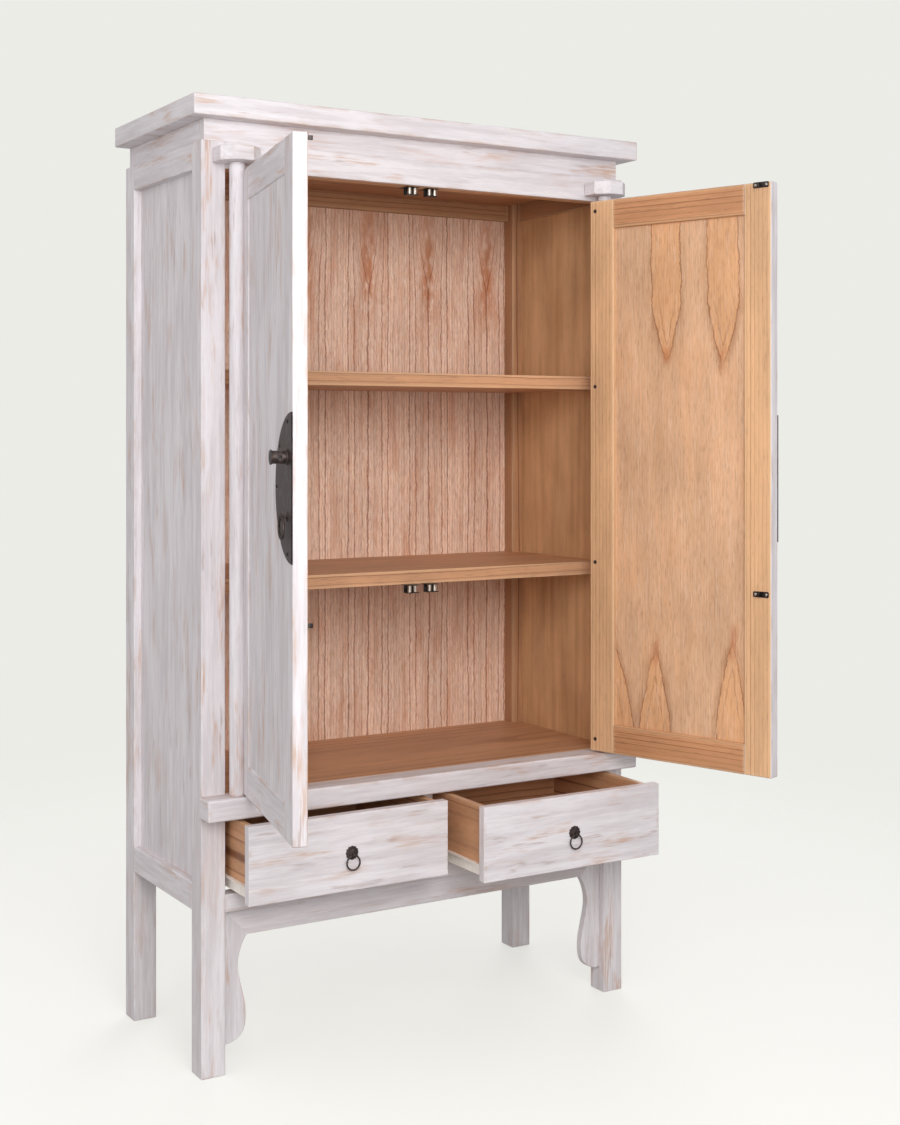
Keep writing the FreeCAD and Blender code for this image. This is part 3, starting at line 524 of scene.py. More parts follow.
class Spot:
    """A point of an outline: it lies on a round corner about a centre, or on a straight run."""

    def __init__(self, centre, normal, radius=0.0, mitre=None, worn=0.0):
        self.centre = centre
        self.normal = normal
        self.radius = radius
        self.mitre = mitre or normal
        self.worn = worn

    def inset(self, distance):
        """Where the point goes when the outline shrinks. A round corner shrinks to a sharp one."""
        if distance < self.radius:
            return self.centre + self.normal * (self.radius - distance)
        return self.centre - self.mitre * (distance - self.radius)


def eased_outline(corners, radii, steps=3):
    """An anticlockwise outline with round corners that are worn."""
    outline = []
    for index, (corner, radius) in enumerate(zip(corners, radii)):
        before, after = corner - corners[index - 1], corners[(index + 1) % len(corners)] - corner
        arriving, leaving = before.normalized(), after.normalized()
        first, last = Vector((arriving.y, -arriving.x)), Vector((leaving.y, -leaving.x))
        middle = (first + last).normalized()
        mitre = middle / max(middle.dot(first), 0.2)
        centre = corner - mitre * radius
        start = centre + first * radius - arriving * min(WEAR, before.length * 0.3)
        end = centre + last * radius + leaving * min(WEAR, after.length * 0.3)
        outline.append(Spot(start, first))
        for number in range(steps + 1):
            share = number / steps
            normal = (first * (1 - share) + last * share).normalized()
            outline.append(Spot(centre, normal, radius, mitre, 0.75 + 0.25 * math.sin(math.pi * share)))
        outline.append(Spot(end, last))
    return outline


def smooth_outline(points):
    """An anticlockwise outline that is a smooth curve."""
    outline = []
    for index, point in enumerate(points):
        tangent = (points[(index + 1) % len(points)] - points[index - 1]).normalized()
        outline.append(Spot(point, Vector((tangent.y, -tangent.x))))
    return outline


def skin(rows, around, closed=False):
    """Faces over rows of points, with a cap on the first and the last, or from the last to the first."""
    faces = [] if closed else [list(reversed(range(around)))]
    for row in range(rows if closed else rows - 1):
        near, far = row * around, (row + 1) % rows * around
        for index in range(around):
            following = (index + 1) % around
            faces.append([near + index, near + following, far + following, far + index])
    if not closed:
        faces.append(list(range((rows - 1) * around, rows * around)))
    return faces


def swept(outline, low, high, end_round, spacing=0.05):
    """Draws an outline from low to high, with its two end edges rounded.
    Returns points, normals, edge wear and faces. Their axes: along, then the two of the outline."""
    length = high - low
    rows = [(0.0, end_round + 1.5 * MM, 90, 0.0)]
    for degrees, wear in ((90, 0.75), (45, 1.0), (0, 0.75)):
        tilt = math.radians(degrees)
        rows.append((end_round * (1 - math.sin(tilt)), end_round * (1 - math.cos(tilt)), degrees, wear))
    rows.append((end_round + min(WEAR, length / 4), 0.0, 0, 0.0))
    far_rows = [(high - position, inset, degrees, wear) for position, inset, degrees, wear in rows[::-1]]
    rows = [(low + position, inset, -degrees, wear) for position, inset, degrees, wear in rows]
    start, stop = rows[-1][0], far_rows[0][0]
    count = max(1, round((stop - start) / spacing))
    rows += [(start + (stop - start) * number / count, 0.0, 0, 0.0) for number in range(1, count)]
    rows += far_rows
    points, directions, wears = [], [], []
    for position, inset, degrees, wear in rows:
        rise, flat = math.sin(math.radians(degrees)), math.cos(math.radians(degrees))
        for spot in outline:
            place = spot.inset(inset)
            points.append((position, place.x, place.y))
            directions.append((rise, spot.normal.x * flat, spot.normal.y * flat))
            wears.append(wear if abs(degrees) == 90 else max(wear, spot.worn))
    return np.array(points), np.array(directions), np.array(wears), skin(len(rows), len(outline))


def revolved(profile, steps=32, petals=0, petal_depth=0.0):
    """Turns a profile of (radius, height) about the z axis, from its foot to its tip.
    Petals make its outline wavy. Returns points and faces."""
    points = []
    widest = max(radius for radius, height in profile)
    for radius, height in profile:
        for number in range(steps):
            angle = 2 * math.pi * number / steps
            wave = 1 + petal_depth * math.cos(petals * angle) * radius / widest
            points.append((radius * wave * math.cos(angle), radius * wave * math.sin(angle), height))
    return np.array(points), skin(len(profile), steps)


def axes_at(base, direction):
    """The matrix that stands a drawing on base, its z axis along direction."""
    return Matrix.Translation(base) @ Vector(direction).to_track_quat("Z", "Y").to_matrix().to_4x4()


# Wood

def bareness(normals, bare_faces):
    """1 on the faces that were never painted, 0 on painted ones, and between on rounded edges."""
    bare = np.zeros(len(normals))
    for face in bare_faces.split():
        sign = 1 if face[0] == "+" else -1
        bare += np.clip(sign * normals[:, AXES.index(face[1])], 0, 1) ** 2
    return bare


def brush_strokes(grain, directions):
    """Grain coordinates, turned on the end faces so that strokes follow the longer side there."""
    size = grain.max(0) - grain.min(0)
    longer, shorter = (1, 2) if size[1] > size[2] else (2, 1)
    on_end = np.abs(directions[:, 0]) > 0.9
    brush = grain.copy()
    brush[on_end] = grain[on_end][:, [longer, shorter, 0]]
    return brush


def distances_inside(points, limits):
    """Signed distances into the unpainted part. Each limit is an axis, a sign and a level."""
    inside = np.ones((len(points), 3))
    for axis, sign, level in limits:
        index = AXES.index(axis)
        inside[:, index] = sign * (points[:, index] - level)
    return inside


def own_nodes(name, nodes):
    """The CAD nodes a piece stands for: those listed, or the one it is named after."""
    return nodes or [node for node in [name] if node in frame["nodes"]]


def wooden(name, body, points, normals, worn, faces, grain_axis, material="white", slot="whitewashed_wood",
           nodes=(), bare="", limits=(), place=None, pith=None):
    """A wooden piece: its values for the wood shader, and faces that are planed by hand."""
    piece_name = f"{name}_wood"
    chance = random.Random(piece_name)
    centre = (points.min(0) + points.max(0)) / 2
    spot = np.roll(points - centre, -AXES.index(grain_axis), axis=1)
    if pith is None:
        pith = (chance.uniform(-12, 12) * MM, chance.choice((-1, 1)) * chance.uniform(25, 60) * MM)
    grain = spot + np.array((chance.uniform(-40, 40), *pith))
    directions = np.roll(normals, -AXES.index(grain_axis), axis=1)
    values = {"grain": grain, "brush": brush_strokes(grain, directions), "spot": spot, "edge": worn,
              "bare": bareness(normals, bare), "inside": distances_inside(points, limits)}
    seed = Vector((chance.uniform(0, 90), 0, 0))
    sway = np.array([noise.noise_vector(Vector(point) * 9 + seed) for point in points])
    return make_piece(piece_name, body, points + sway * SAND_WAVE, faces, material, normals, values,
                      own_nodes(name, nodes), place)


def shaped(name, body, outline, axis, low, high, end_round=CRISP, grain_axis=None, **options):
    """A wooden piece with an outline drawn along an axis."""
    points, normals, worn, faces = swept(outline, low, high, end_round)
    turn = AXES.index(axis)
    return wooden(name, body, np.roll(points, turn, axis=1), np.roll(normals, turn, axis=1), worn, faces,
                  grain_axis or axis, **options)


def board(name, body, box, axis, edge=EASE, ends=CRISP, sharp="", **options):
    """A sawn board that fills a box, its grain along one axis and its long edges rounded.
    The edges next to the faces named in sharp, such as "+y", are left crisp."""
    low, high = box
    index = AXES.index(axis)
    first, second = AXES[(index + 1) % 3], AXES[(index + 2) % 3]
    corners, radii = [], []
    for side_a, side_b in (("-", "-"), ("+", "-"), ("+", "+"), ("-", "+")):
        corner_a = (high if side_a == "+" else low)[AXES.index(first)]
        corner_b = (high if side_b == "+" else low)[AXES.index(second)]
        corners.append(Vector((corner_a, corner_b)))
        crisp = {side_a + first, side_b + second} & set(sharp.split())
        radii.append(CRISP if crisp else edge)
    return shaped(name, body, eased_outline(corners, radii), axis, low[index], high[index], ends, **options)


def bare_board(name, body, box, axis, **options):
    """A board that was never painted."""
    options.setdefault("material", "brown")
    return board(name, body, box, axis, bare=ALL_FACES, slot="natural_wood", **options)


# Carcass

def post_gaps():
    """The x range between the left and right posts, and the y range between the front and back ones."""
    left, right = solid("front_left_post"), solid("front_right_post")
    return (left[1].x, right[0].x), (left[1].y, solid("back_left_post")[0].y)


def back_limit():
    """Nothing behind the middle of the back panel is left bare."""
    return "y", -1, between(*solid("back_panel")).y


def side_limit(sign):
    """Nothing outside the middle of a side panel is left bare."""
    return "x", -sign, sign * between(*solids("side_panels")[1]).x


def build_posts():
    """The four posts, natural wood where they stand inside the cabinet."""
    above_floor = "z", 1, between(*solid("cabinet_floor")).z
    for side, sign in SIDES.items():
        board(f"front_{side}_post", CARCASS, solid(f"front_{side}_post"), "z", ends=EASE, bare="+y",
              limits=[side_limit(sign), above_floor])
    for side, sign in SIDES.items():
        # The back posts take the umber wood, which is partly painted shade.
        bare = "-y -x" if sign > 0 else "-y +x"
        board(f"back_{side}_post", CARCASS, solid(f"back_{side}_post"), "z", ends=EASE, bare=bare,
              limits=[side_limit(sign), above_floor, back_limit()], material="white_umber_with_painted_shade")


def build_rails():
    """The rails between the posts, shown from shoulder to shoulder."""
    gap_x, gap_y = post_gaps()
    for node, bare in (("front_top_rail", "-z +y"), ("drawer_rail", "+y")):
        box = solid(node)
        board(node, CARCASS, within(box, x=gap_x), "x", bare=bare, limits=[("y", 1, box[0].y + 6 * MM)])
    # The back and side rails take the umber wood, which is partly painted shade.
    back_rails = from_below(solids("back_rails"))
    for level, bare, box in zip(("lower", "floor", "upper"), ("", "-y", "-y -z"), back_rails):
        board(f"back_{level}_rail", CARCASS, within(box, x=gap_x), "x", nodes=["back_rails"], bare=bare,
              limits=[back_limit()], material="white_umber_with_painted_shade")
    for box in solids("side_rails"):
        side = "left" if box[0].x < 0 else "right"
        level, bare = ("upper", "+x -x -z") if box[0].z > FLOOR_TOP else ("lower", "")
        board(f"{side}_side_{level}_rail", CARCASS, within(box, y=gap_y), "y", nodes=["side_rails"],
              bare=bare, limits=[side_limit(SIDES[side])], material="white_umber_with_painted_shade")


def build_frieze_and_cornice():
    box = low, high = solid("frieze_boards")
    levels = np.unique(np.round(node_points("frieze_boards")[:, 0], 4))
    thick = levels[1] - levels[0]
    front, back = low.y + thick, high.y - thick
    for label, part, axis in (("front", within(box, y=(low.y, front)), "x"),
                              ("back", within(box, y=(back, high.y)), "x"),
                              ("left", within(box, x=(low.x, low.x + thick), y=(front, back)), "y"),
                              ("right", within(box, x=(high.x - thick, high.x), y=(front, back)), "y")):
        board(f"frieze_{label}", CARCASS, part, axis, edge=1 * MM, ends=1 * MM, nodes=["frieze_boards"])
    board("cornice", CARCASS, solid("cornice_board"), "x", edge=3 * MM, ends=3 * MM, nodes=["cornice_board"])


def build_panels():
    """The side panels and the veneered back, in grooves between the posts and rails."""
    (x_low, x_high), (y_low, y_high) = post_gaps()
    levels = min(high.z for low, high in solids("side_rails")) - GROOVE, solid("front_top_rail")[0].z + GROOVE
    for box in solids("side_panels"):
        side, inner = ("left", "+x") if box[0].x < 0 else ("right", "-x")
        board(f"{side}_side_panel", CARCASS, within(box, y=(y_low - GROOVE, y_high + GROOVE), z=levels), "z",
              edge=CRISP, nodes=["side_panels"], bare=inner, material="white_quiet", pith=(0.0, FAR_PITH))
    back = within(solid("back_panel"), x=(x_low - GROOVE, x_high + GROOVE), z=levels)
    board("back_panel", CARCASS, back, "z", edge=CRISP, bare="-y", material="veneer", slot="back_veneer",
          pith=(FAR_PITH, 0.0))


def build_shelves():
    for node in ("upper_shelf", "lower_shelf", "cabinet_floor", "ceiling_board"):
        # The ceiling board takes the umber wood, which is partly painted shade.
        material = "white_umber_with_painted_shade" if node == "ceiling_board" else "brown"
        bare_board(node, CARCASS, solid(node), "x", edge=1.5 * MM, pith=(0.02, 0.3), material=material)


def build_pivot_ledge():
    """The ledge the doors turn on: a bar in front of the posts, and a nose and lip between them."""
    gap_x, _ = post_gaps()
    box = low, high = solid("pivot_ledge")
    front = solid("front_left_post")[0].y
    nose_back = solid("cabinet_floor")[0].y
    lip_top = solid("cabinet_floor")[0].z - CRISP
    board("pivot_ledge", CARCASS, within(box, y=(low.y, front)), "x", edge=4 * MM, ends=4 * MM, sharp="+y")
    board("pivot_ledge_nose", CARCASS, within(box, x=gap_x, y=(front - 1 * MM, nose_back)), "x", edge=CRISP)
    board("pivot_ledge_lip", CARCASS, within(box, x=gap_x, y=(nose_back, high.y), z=(low.z, lip_top)), "x",
          edge=CRISP)


def build_pivot_blocks():
    """The octagonal blocks that hold the tops of the dowels, flat against the frame."""
    front = solid("front_left_post")[0].y
    for low, high in solids("pivot_blocks"):
        side = "left" if low.x < 0 else "right"
        pivot = Vector(joint(f"{side}_door_hinge")["pos_m"])
        half = (high.x - low.x) / 2
        corners = []
        for number in range(8):
            angle = math.pi / 8 + number * math.pi / 4
            spoke = Vector((math.cos(angle), math.sin(angle))) * (half / math.cos(math.pi / 8))
            beyond = max(0.0, spoke.y + pivot.y - front)
            x = pivot.x + spoke.x + math.copysign(beyond, spoke.x)
            corners.append(Vector((x, pivot.y + spoke.y - beyond)))
        outline = eased_outline(corners, [EASE] * 8)
        shaped(f"{side}_pivot_block", CARCASS, outline, "z", low.z, high.z, EASE, "x", nodes=["pivot_blocks"])


def build_drawer_frame():
    levels = solid("drawer_rail")[1].z, solid("pivot_ledge")[0].z
    board("drawer_divider", CARCASS, within(solid("drawer_divider"), z=levels), "z", edge=1 * MM)
    bare_board("centre_partition", CARCASS, solid("centre_partition"), "y")


def build_apron():
    """The apron and its two scrolled spandrels, meeting at mitres."""
    low, high = solid("apron_rail")
    points = node_points("apron_rail")
    foot = np.abs(points[np.abs(points[:, 2] - low.z) < 3 * MM][:, 0]).max()
    rail_foot = solid("drawer_rail")[0].z
    reach = high.x - (high.z - rail_foot) + EASE
    top = rail_foot + EASE
    corners = [Vector((low.z, foot)), Vector((low.z, -foot)), Vector((top, -reach)), Vector((top, reach))]
    shaped("apron", CARCASS, eased_outline(corners, [CRISP] * 4), "y", low.y, high.y, 1.5 * MM, "x",
           nodes=["apron_rail"])
    build_spandrels(top)


def build_spandrels(top):
    """The brackets, with the scroll read from the front face of the CAD solid."""
    near = 1e-5
    post_edge = solid("front_right_post")[0].x
    points = node_points("spandrels")
    front, back = points[:, 1].min(), points[:, 1].max()
    on_front = points[(np.abs(points[:, 1] - front) < near) & (points[:, 0] > 0)]
    on_front = np.unique(np.round(on_front, 5), axis=0)
    scroll = on_front[(on_front[:, 0] < post_edge - 10 * near) & (on_front[:, 2] < top)]
    scroll = scroll[np.argsort(scroll[:, 2])]
    for side, sign in SIDES.items():
        outline = [Vector((z, sign * x)) for x, _, z in scroll]
        outline += [Vector((level, sign * post_edge)) for level in (top, scroll[0][2])]
        if sign < 0:
            outline.reverse()
        shaped(f"{side}_spandrel", CARCASS, smooth_outline(outline), "y", front, back, 1.5 * MM, "z",
               nodes=["spandrels"])


# Doors

class Door:
    """A door. Its pieces are drawn where they are when it is closed, and place takes them to rest."""

    def __init__(self, side):
        self.side = side
        self.sign = SIDES[side]
        self.body = f"{side}_door"
        self.closing = closed_place(side)
        self.place = self.closing.inverted()
        self.hinge = Vector(joint(f"{side}_door_hinge")["pos_m"])

    def box(self, part):
        return solid(f"{self.side}_{part}", self.closing)

    def boxes(self, part):
        return from_below(solids(f"{self.side}_{part}", self.closing))


def build_door_frame(door):
    """Stiles from top to bottom, rails between them, and the panel."""
    side = door.side
    stiles = {label: door.box(f"{label}_stile") for label in ("lock", "hinge")}
    limits = [("y", 1, between(*stiles["lock"]).y)]
    for label, sign in (("lock", door.sign), ("hinge", -door.sign)):
        bare = "+y +x" if sign > 0 else "+y -x"
        board(f"{side}_{label}_stile", door.body, stiles[label], "z", edge=DOOR_EASE, ends=DOOR_EASE,
              bare=bare, limits=limits, pith=(0.2, 0.05), place=door.place)
    left, right = sorted([corner.x for box in stiles.values() for corner in box])[1:3]
    rails = door.boxes("door_rails")
    for label, bare, box in zip(("bottom", "top"), ("+y +z", "+y -z"), rails):
        board(f"{side}_door_{label}_rail", door.body, within(box, x=(left, right)), "x", edge=DOOR_EASE,
              nodes=[f"{side}_door_rails"], bare=bare, limits=limits, material="white_orange",
              place=door.place)
    panel = within(door.box("door_panel"), x=(left - GROOVE, right + GROOVE),
                   z=(rails[0][1].z - GROOVE, rails[1][0].z + GROOVE))
    board(f"{side}_door_panel", door.body, panel, "z", edge=CRISP, bare="+y", material="white_panel",
          pith=(FAR_PITH, 0.0), place=door.place)


def build_dowel(door):
    """The round stile the door hangs on, turned on a lathe, with a pin at each end."""
    node = f"{door.side}_pivot_dowel"
    name = f"{node}_wood"
    low, high = door.box("pivot_dowel")
    radius = (high.x - low.x) / 2
    bottom, top = solid("pivot_ledge")[1].z + CRISP, solid("pivot_blocks")[0].z - CRISP
    pin, ease, steps = 8 * MM, 1 * MM, 48
    profile = [(pin - ease, low.z), (pin, low.z + ease), (pin, bottom), (radius - ease, bottom),
               (radius, bottom + ease)]
    profile += [(radius, level) for level in np.linspace(bottom + WEAR, top - WEAR, 24)]
    profile += [(radius, top - ease), (radius - ease, top), (pin, top), (pin, high.z - ease),
                (pin - ease, high.z)]
    points, faces = revolved(profile, steps)
    worn = np.repeat((np.gradient(np.array(profile)[:, 0]) != 0).astype(float), steps)
    drawn = moved(points, axes_at((door.hinge.x, door.hinge.y, 0), (0, 0, 1)))
    spot = np.roll(drawn - (drawn.min(0) + drawn.max(0)) / 2, -AXES.index("z"), axis=1)
    grain = spot + np.array((random.Random(name).uniform(-40, 40), 6 * MM, 4 * MM))
    values = {"grain": grain, "brush": grain, "spot": spot, "edge": worn, "bare": np.zeros(len(drawn)),
              "inside": distances_inside(drawn, ())}
    make_piece(name, door.body, drawn, faces, "white", None, values, [node], door.place)


def metal(name, body, drawn, base, direction, material="iron", nodes=(), place=None):
    """A piece of metal drawn about its own z axis, set on base and pointing along direction."""
    points, faces = drawn
    return make_piece(name, body, moved(points, axes_at(base, direction)), faces, material, None, None,
                      nodes, place)


def dome(radius, rim, height, rings=5):
    """The profile of a domed head with a low rim."""
    profile = [(radius, 0.0), (radius, rim)]
    for number in range(1, rings):
        angle = math.pi / 2 * number / rings
        profile.append((radius * math.cos(angle), rim + height * math.sin(angle)))
    profile.append((radius * 0.04, rim + height))
    return profile


def wire_ring(radius, wire, steps=56, around=12):
    """A ring of forged wire in the xz plane, a little uneven."""
    points = []
    for number in range(steps):
        angle = 2 * math.pi * number / steps
        thick = wire * (0.96 + 0.08 * noise.noise(Vector((3 * math.cos(angle), 3 * math.sin(angle), 0))))
        for index in range(around):
            turn = 2 * math.pi * index / around
            reach = radius + thick * math.cos(turn)
            points.append((reach * math.cos(angle), thick * math.sin(turn), reach * math.sin(angle)))
    return np.array(points), skin(steps, around, closed=True)


def ring_sizes(node, place=None):
    """Centre, radius to the middle of the wire, and wire radius, from a ring's box."""
    low, high = solid(node, place)
    wire = (high.y - low.y) / 2
    return between(low, high), (high.z - low.z) / 2 - wire, wire


def eye_foot(ring_node, face, closing=None):
    """Where the shank of an eye goes into a face."""
    centre, radius, wire = ring_sizes(ring_node, closing)
    return Vector((centre.x, face, centre.z + radius))


def build_pull_ring(body, node, closing=None, place=None):
    centre, radius, wire = ring_sizes(node, closing)
    points, faces = wire_ring(radius, wire)
    make_piece(f"{node}_iron", body, points + np.array(centre), faces, "iron", nodes=[node],
               place=place)


def build_eye(name, body, ring_node, foot, closing=None, place=None):
    """The eye a ring hangs in: a small loop about the top of the ring, and its shank."""
    centre, radius, wire = ring_sizes(ring_node, closing)
    hang = centre + Vector((0, 0, radius))
    loop, thick = wire * 1.9, wire * 0.62
    points, faces = wire_ring(loop, thick, 28, 10)
    standing = Matrix.Translation(hang) @ QUARTER_TURN @ Matrix.Diagonal((1, 1.5, 1, 1))
    make_piece(name, body, moved(points, standing), faces, "iron", place=place)
    length = foot.y - hang.y - loop + thick
    shank = [(thick * 1.6, 0.0), (thick * 1.5, length * 0.5), (thick * 1.3, length)]
    metal(f"{name}_shank", body, revolved(shank, 16), foot, (0, -1, 0), place=place)


def half_disc(radius, free_x, centre_z, sign, steps=40):
    """The outline of the lock plate, flat along the free edge of the door. Its axes are z and x."""
    points = []
    for number in range(steps + 1):
        angle = math.pi * number / steps
        points.append(Vector((centre_z - radius * math.cos(angle), free_x + sign * radius * math.sin(angle))))
    if sign > 0:
        points.reverse()
    outline = smooth_outline(points)
    outline[0] = Spot(points[0], Vector((sign, 0)))
    outline[-1] = Spot(points[-1], Vector((-sign, 0)))
    return outline


def build_lock_plate(door):
    """Half a round plate with its rim hammered down, and its domed nails. Returns its face."""
    node = f"{door.side}_lock_plate"
    low, high = door.box("lock_plate")
    door_face = door.box("lock_stile")[0].y
    radius = (high.z - low.z) / 2
    middle = (high.z + low.z) / 2
    free_x = low.x if door.sign > 0 else high.x
    plate_face = door_face - PLATE_THICK
    outline = half_disc(radius, free_x, middle, door.sign)
    points, normals, worn, faces = swept(outline, plate_face, door_face + 0.2 * MM, 0.8 * MM)
    make_piece(f"{node}_iron", door.body, np.roll(points, 1, axis=1), faces, "iron",
               np.roll(normals, 1, axis=1), {"edge": worn}, [node], door.place)
    reach = radius - NAIL_FROM_RIM
    head = revolved(dome(NAIL_RADIUS, 0.4 * MM, 1.6 * MM), 20)
    for number in range(NAILS):
        angle = math.radians(FIRST_NAIL + NAIL_STEP * number)
        base = Vector((free_x + door.sign * reach * math.sin(angle), plate_face,
                       middle - reach * math.cos(angle)))
        metal(f"{node}_nail_{number + 1}", door.body, head, base, (0, -1, 0), "steel", place=door.place)
    return plate_face


def build_lock_post(door, plate_face):
    """A turned post with a rim at each end, drilled across for the bar of a padlock."""
    node = f"{door.side}_lock_post"
    low, high = door.box("lock_post")
    radius = (high.x - low.x) / 2
    reach = plate_face - low.y
    middle = Vector(((low.x + high.x) / 2, plate_face, (low.z + high.z) / 2))
    rim, swell = 1.1 * radius, 2.5 * MM
    profile = [(rim, 0.0), (rim * 1.04, swell / 2), (rim, swell), (radius * 0.94, swell * 1.5),
               (radius * 0.92, reach / 2), (radius * 0.94, reach - swell * 1.5), (rim * 0.98, reach - swell),
               (rim, reach - swell / 2), (rim * 0.95, reach - 0.4 * MM), (rim * 0.6, reach + 0.2 * MM)]
    post = metal(f"{node}_iron", door.body, revolved(profile, 40), middle, (0, -1, 0), nodes=[node],
                 place=door.place)
    hole_middle = middle - Vector((0, reach / 2, 0))
    points, faces = revolved([(PADLOCK_HOLE, -2 * radius), (PADLOCK_HOLE, 2 * radius)], 24)
    cut_out(post, moved(moved(points, axes_at(hole_middle, (1, 0, 0))), door.place), faces)
    points, faces = wire_ring(PADLOCK_HOLE + 0.5 * MM, 0.7 * MM, 28, 8)
    for number, end in enumerate((-1, 1)):
        seat = hole_middle + Vector((end * radius * 0.86, 0, 0))
        standing = Matrix.Translation(seat) @ QUARTER_TURN
        make_piece(f"{node}_hole_rim_{number + 1}", door.body, moved(points, standing), faces,
                   "iron", place=door.place)


def cut_out(piece, points, faces):
    """Cuts a closed mesh, given at rest, out of a piece."""
    cutter = shown("cutter", new_mesh("cutter", points, faces))
    cut = piece.modifiers.new("cut", "BOOLEAN")
    cut.object = cutter
    cut.solver = "EXACT"
    result = bpy.data.meshes.new_from_object(piece.evaluated_get(bpy.context.evaluated_depsgraph_get()))
    piece.modifiers.clear()
    piece.data = result
    bpy.data.objects.remove(cutter)


def build_strikes(door):
    """On the inner face: a plate with two screws, and a spear-headed tongue for the rollers."""
    node = f"{door.side}_strikes"
    inner = door.box("lock_stile")[1].y
    root = inner + STRIKE_PLATE
    screw = revolved(dome(3.2 * MM, 0.3 * MM, 1.1 * MM), 20)
    for number, (low, high) in enumerate(door.boxes("strikes")):
        centre = between(low, high)
        corners = [Vector(corner) for corner in ((low.z, low.x), (high.z, low.x), (high.z, high.x),
                                                 (low.z, high.x))]
        outline = eased_outline(corners, [2.5 * MM] * 4)
        points, normals, worn, faces = swept(outline, inner - CRISP, root, 0.4 * MM)
        make_piece(f"{node}_plate_{number + 1}", door.body, np.roll(points, 1, axis=1), faces,
                   "steel", np.roll(normals, 1, axis=1), None, [node], door.place)
        tip = high.y
        spear = [(1.9, root), (1.2, tip - 5.5 * MM), (2.0, tip - 4 * MM), (1.6, tip - 1.5 * MM), (0.5, tip)]
        outline = [Vector((centre.x + half * MM, y)) for half, y in spear]
        outline += [Vector((centre.x - half * MM, y)) for half, y in spear[::-1]]
        points, normals, worn, faces = swept(smooth_outline(outline), centre.z - TONGUE_HALF,
                                             centre.z + TONGUE_HALF, 0.3 * MM)
        make_piece(f"{node}_tongue_{number + 1}", door.body, np.roll(points, 2, axis=1), faces,
                   "steel", place=door.place)
        for label, sign in (("a", -1), ("b", 1)):
            base = Vector((centre.x + sign * STRIKE_SCREW_GAP, root, centre.z))
            metal(f"{node}_screw_{number + 1}{label}", door.body, screw, base, (0, 1, 0), "zinc",
                  place=door.place)


def build_door_screws(door):
    """Dark screws in the hinge stile, with sunk slots in their heads."""
    node = f"{door.side}_door_screws"
    inner = door.box("hinge_stile")[1].y
    rim = SCREW_RADIUS
    profile = [(rim, 0.0), (rim, 0.8 * MM), (rim * 0.9, 1.0 * MM), (rim * 0.8, 0.8 * MM),
               (rim * 0.34, 0.7 * MM), (rim * 0.24, 0.45 * MM), (rim * 0.02, 0.45 * MM)]
    head = revolved(profile, 20)
    for number, (low, high) in enumerate(door.boxes("door_screws")):
        base = Vector(((low.x + high.x) / 2, inner - 0.3 * MM, (low.z + high.z) / 2))
        metal(f"{node}_head_{number + 1}", door.body, head, base, (0, 1, 0), "iron", [node],
              door.place)


def build_door(side):
    door = Door(side)
    build_door_frame(door)
    build_dowel(door)
    plate_face = build_lock_plate(door)
    build_lock_post(door, plate_face)
    ring, staple = f"{side}_pull_ring", f"{side}_ring_staple"
    foot = eye_foot(ring, plate_face, door.closing)
    metal(f"{staple}_disc", door.body, revolved(dome(9 * MM, 0.8 * MM, 1.6 * MM), 28), foot, (0, -1, 0),
          nodes=[staple], place=door.place)
    build_eye(f"{staple}_eye", door.body, ring, foot, door.closing, door.place)
    build_pull_ring(f"{side}_door_ring", ring, door.closing, door.place)
    build_strikes(door)
    build_door_screws(door)


# Drawers

def build_drawer_box(side, body):
    """Sides, back and bottom, of plain brown wood."""
    node = f"{side}_drawer_box"
    low, high = solid(node)
    low.y = solid(f"{side}_drawer_front")[1].y
    box = low, high
    left, right = low.x + DRAWER_SIDE, high.x - DRAWER_SIDE
    back = high.y - DRAWER_SIDE
    bottom = low.z + BOTTOM_GROOVE
    bottom_box = within(box, x=(left, right), y=(low.y, back), z=(bottom, bottom + DRAWER_BOTTOM))
    for label, part, axis in (("left_side", within(box, x=(low.x, left)), "y"),
                              ("right_side", within(box, x=(right, high.x)), "y"),
                              ("back", within(box, x=(left, right), y=(back, high.y)), "x"),
                              ("bottom", bottom_box, "x")):
        bare_board(f"{node}_{label}", body, part, axis, edge=1.5 * MM, nodes=[node])


def build_drawer_pull(side, body):
    """A fluted rosette with an eye, and the ring that hangs in it."""
    node = f"{side}_drawer_rosette"
    ring = f"{side}_drawer_ring"
    low, high = solid(node)
    face = solid(f"{side}_drawer_front")[0].y
    radius = (high.x - low.x) / 2
    centre = Vector(((low.x + high.x) / 2, face, high.z - radius))
    profile = [(radius, 0.0), (radius, 1.0 * MM), (radius * 0.93, 1.9 * MM), (radius * 0.78, 2.3 * MM),
               (radius * 0.62, 2.0 * MM), (radius * 0.5, 2.6 * MM), (radius * 0.34, 3.3 * MM),
               (radius * 0.16, 3.6 * MM), (radius * 0.02, 3.6 * MM)]
    metal(f"{node}_iron", body, revolved(profile, 64, 12, 0.045), centre, (0, -1, 0), nodes=[node])
    build_eye(f"{node}_eye", body, ring, eye_foot(ring, face - 2 * MM))
    build_pull_ring(f"{side}_drawer_pull", ring)


def build_drawer(side):
    body = f"{side}_drawer"
    node = f"{side}_drawer_front"
    board(node, body, solid(node), "x", ends=EASE, bare="+y")
    build_drawer_box(side, body)
    build_drawer_pull(side, body)


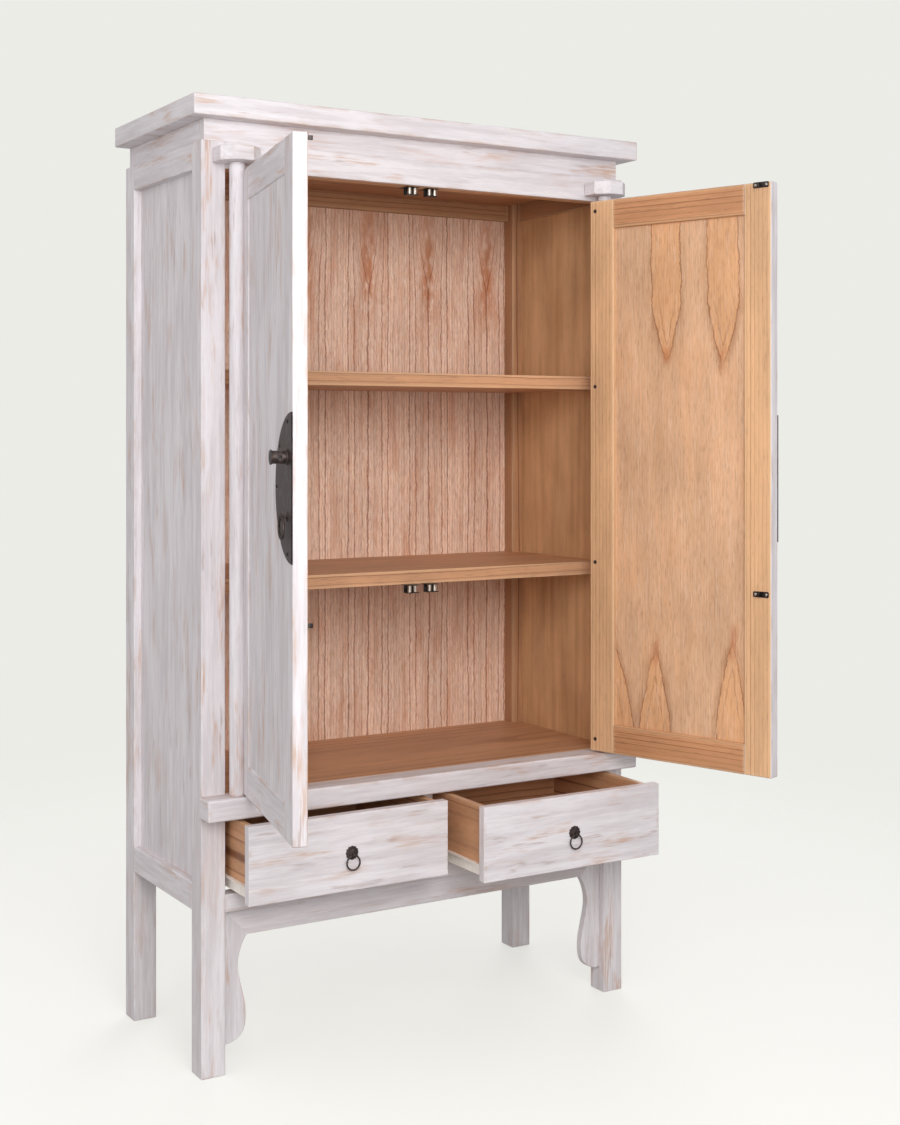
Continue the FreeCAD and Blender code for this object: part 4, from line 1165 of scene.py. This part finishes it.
def build_slide_screws():
    """Screw heads along the webs of the slides."""
    above_foot = 16 * MM
    head = revolved(dome(3.4 * MM, 0.2 * MM, 1.0 * MM), 16)
    for node, body, near in (("slide_channels", CARCASS, 22 * MM),
                             ("left_drawer_runners", "left_drawer", 30 * MM),
                             ("right_drawer_runners", "right_drawer", 30 * MM)):
        for number, (low, high) in enumerate(solids(node)):
            sign = 1 if (number % 2 == 0) == (node == "slide_channels") else -1
            web = (low.x if sign > 0 else high.x) + sign * 1.2 * MM
            for screw, share in enumerate((0.14, 0.5, 0.8)):
                base = Vector((web, low.y + near + (high.y - low.y - 2 * near) * share, low.z + above_foot))
                metal(f"{node}_{number + 1}_screw_{screw + 1}", body, head, base, (sign, 0, 0), "steel")


# CAD nodes that stay

def finish_cad_nodes():
    """Gives the solids that are shown as they are their finishes."""
    for node, kept in frame["nodes"].items():
        material = "steel"
        if node.endswith("_rollers"):
            material = "zinc"
        elif node == "slide_channels" or node.endswith("_drawer_runners"):
            material = "enamel"
        kept.data.materials.clear()
        kept.data.materials.append(MATERIALS[material])


# Stage

def build_floor():
    """A pale floor that fades into the background away from the cabinet."""
    reach = 6.0
    corners = [(-reach, -reach, 0), (reach, -reach, 0), (reach, reach, 0), (-reach, reach, 0)]
    floor = shown("floor", new_mesh("floor", corners, [(0, 1, 2, 3)]))
    material, tree, shader = new_material("floor")
    shader.inputs["Base Color"].default_value = rgb(180, 180, 177)
    shader.inputs["Emission Color"].default_value = BACKGROUND
    shader.inputs["Roughness"].default_value = 1.0
    connect(put("LightPath", {}, "Is Camera Ray", tree) * 0.6, shader, "Emission Strength")
    away = put("VectorMath", {0: put("TexCoord", {}, "Object", tree)}, "Value", operation="LENGTH")
    connect(step(away, 0.9, 3.2, 1.0, 0.0), shader, "Alpha")
    floor.data.materials.append(material)


def aim(thing, position, direction):
    thing.location = position
    thing.rotation_mode = "QUATERNION"
    thing.rotation_quaternion = Vector(direction).to_track_quat("-Z", "Y")


def build_camera():
    """The photograph's view: level, with the horizon above the middle of the picture."""
    data = bpy.data.cameras.new("camera")
    data.sensor_width = 36.0
    data.lens = 52.416
    data.shift_y = -0.116356
    camera = shown("camera", data)
    aim(camera, (-1.7257, -3.1618, 1.2515), (0.5165, 0.8563, 0.0))
    bpy.context.scene.camera = camera


def add_softbox(name, position, size, power):
    """A large square light aimed at the middle of the cabinet."""
    data = bpy.data.lights.new(name, "AREA")
    data.shape = "SQUARE"
    data.size = size
    data.energy = power
    light = shown(name, data)
    light.visible_camera = False
    aim(light, position, Vector((0, 0, 1.0)) - Vector(position))


def build_lights():
    """An even white studio with three softboxes. The background is pale grey."""
    world = bpy.data.worlds.new("studio")
    bpy.context.scene.world = world
    world.use_nodes = True
    tree = world.node_tree
    studio = tree.nodes["Background"]
    studio.inputs["Color"].default_value = (1.0, 0.985, 0.99, 1.0)
    height = parts_of(put("TexCoord", {}, "Generated", tree))[2]
    connect(step(height, -0.25, 0.35, 0.42, 0.58), studio, "Strength")
    backdrop = put("Background", {"Color": BACKGROUND, "Strength": 1.0}, tree=tree)
    seen = put("LightPath", {}, "Is Camera Ray", tree)
    both = put("MixShader", {0: seen, 1: Value(studio.outputs[0]), 2: backdrop})
    connect(both, tree.nodes["World Output"], 0)
    add_softbox("key", (-1.05, -2.85, 1.88), 1.7, 62)
    add_softbox("fill", (-3.4, -1.9, 1.6), 2.0, 23)
    add_softbox("rear", (2.6, 3.6, 2.4), 2.4, 60)


FLOOR_TOP = solid("cabinet_floor")[1].z
BACKGROUND = rgb(236, 236, 231)
MATERIALS = make_materials()
build_camera()
build_posts()
build_rails()
build_frieze_and_cornice()
build_panels()
build_shelves()
build_pivot_ledge()
build_pivot_blocks()
build_drawer_frame()
build_apron()
for door_side in SIDES:
    build_door(door_side)
    build_drawer(door_side)
build_slide_screws()
finish_cad_nodes()
build_floor()
build_lights()
bpy.context.scene.view_settings.view_transform = "Standard"
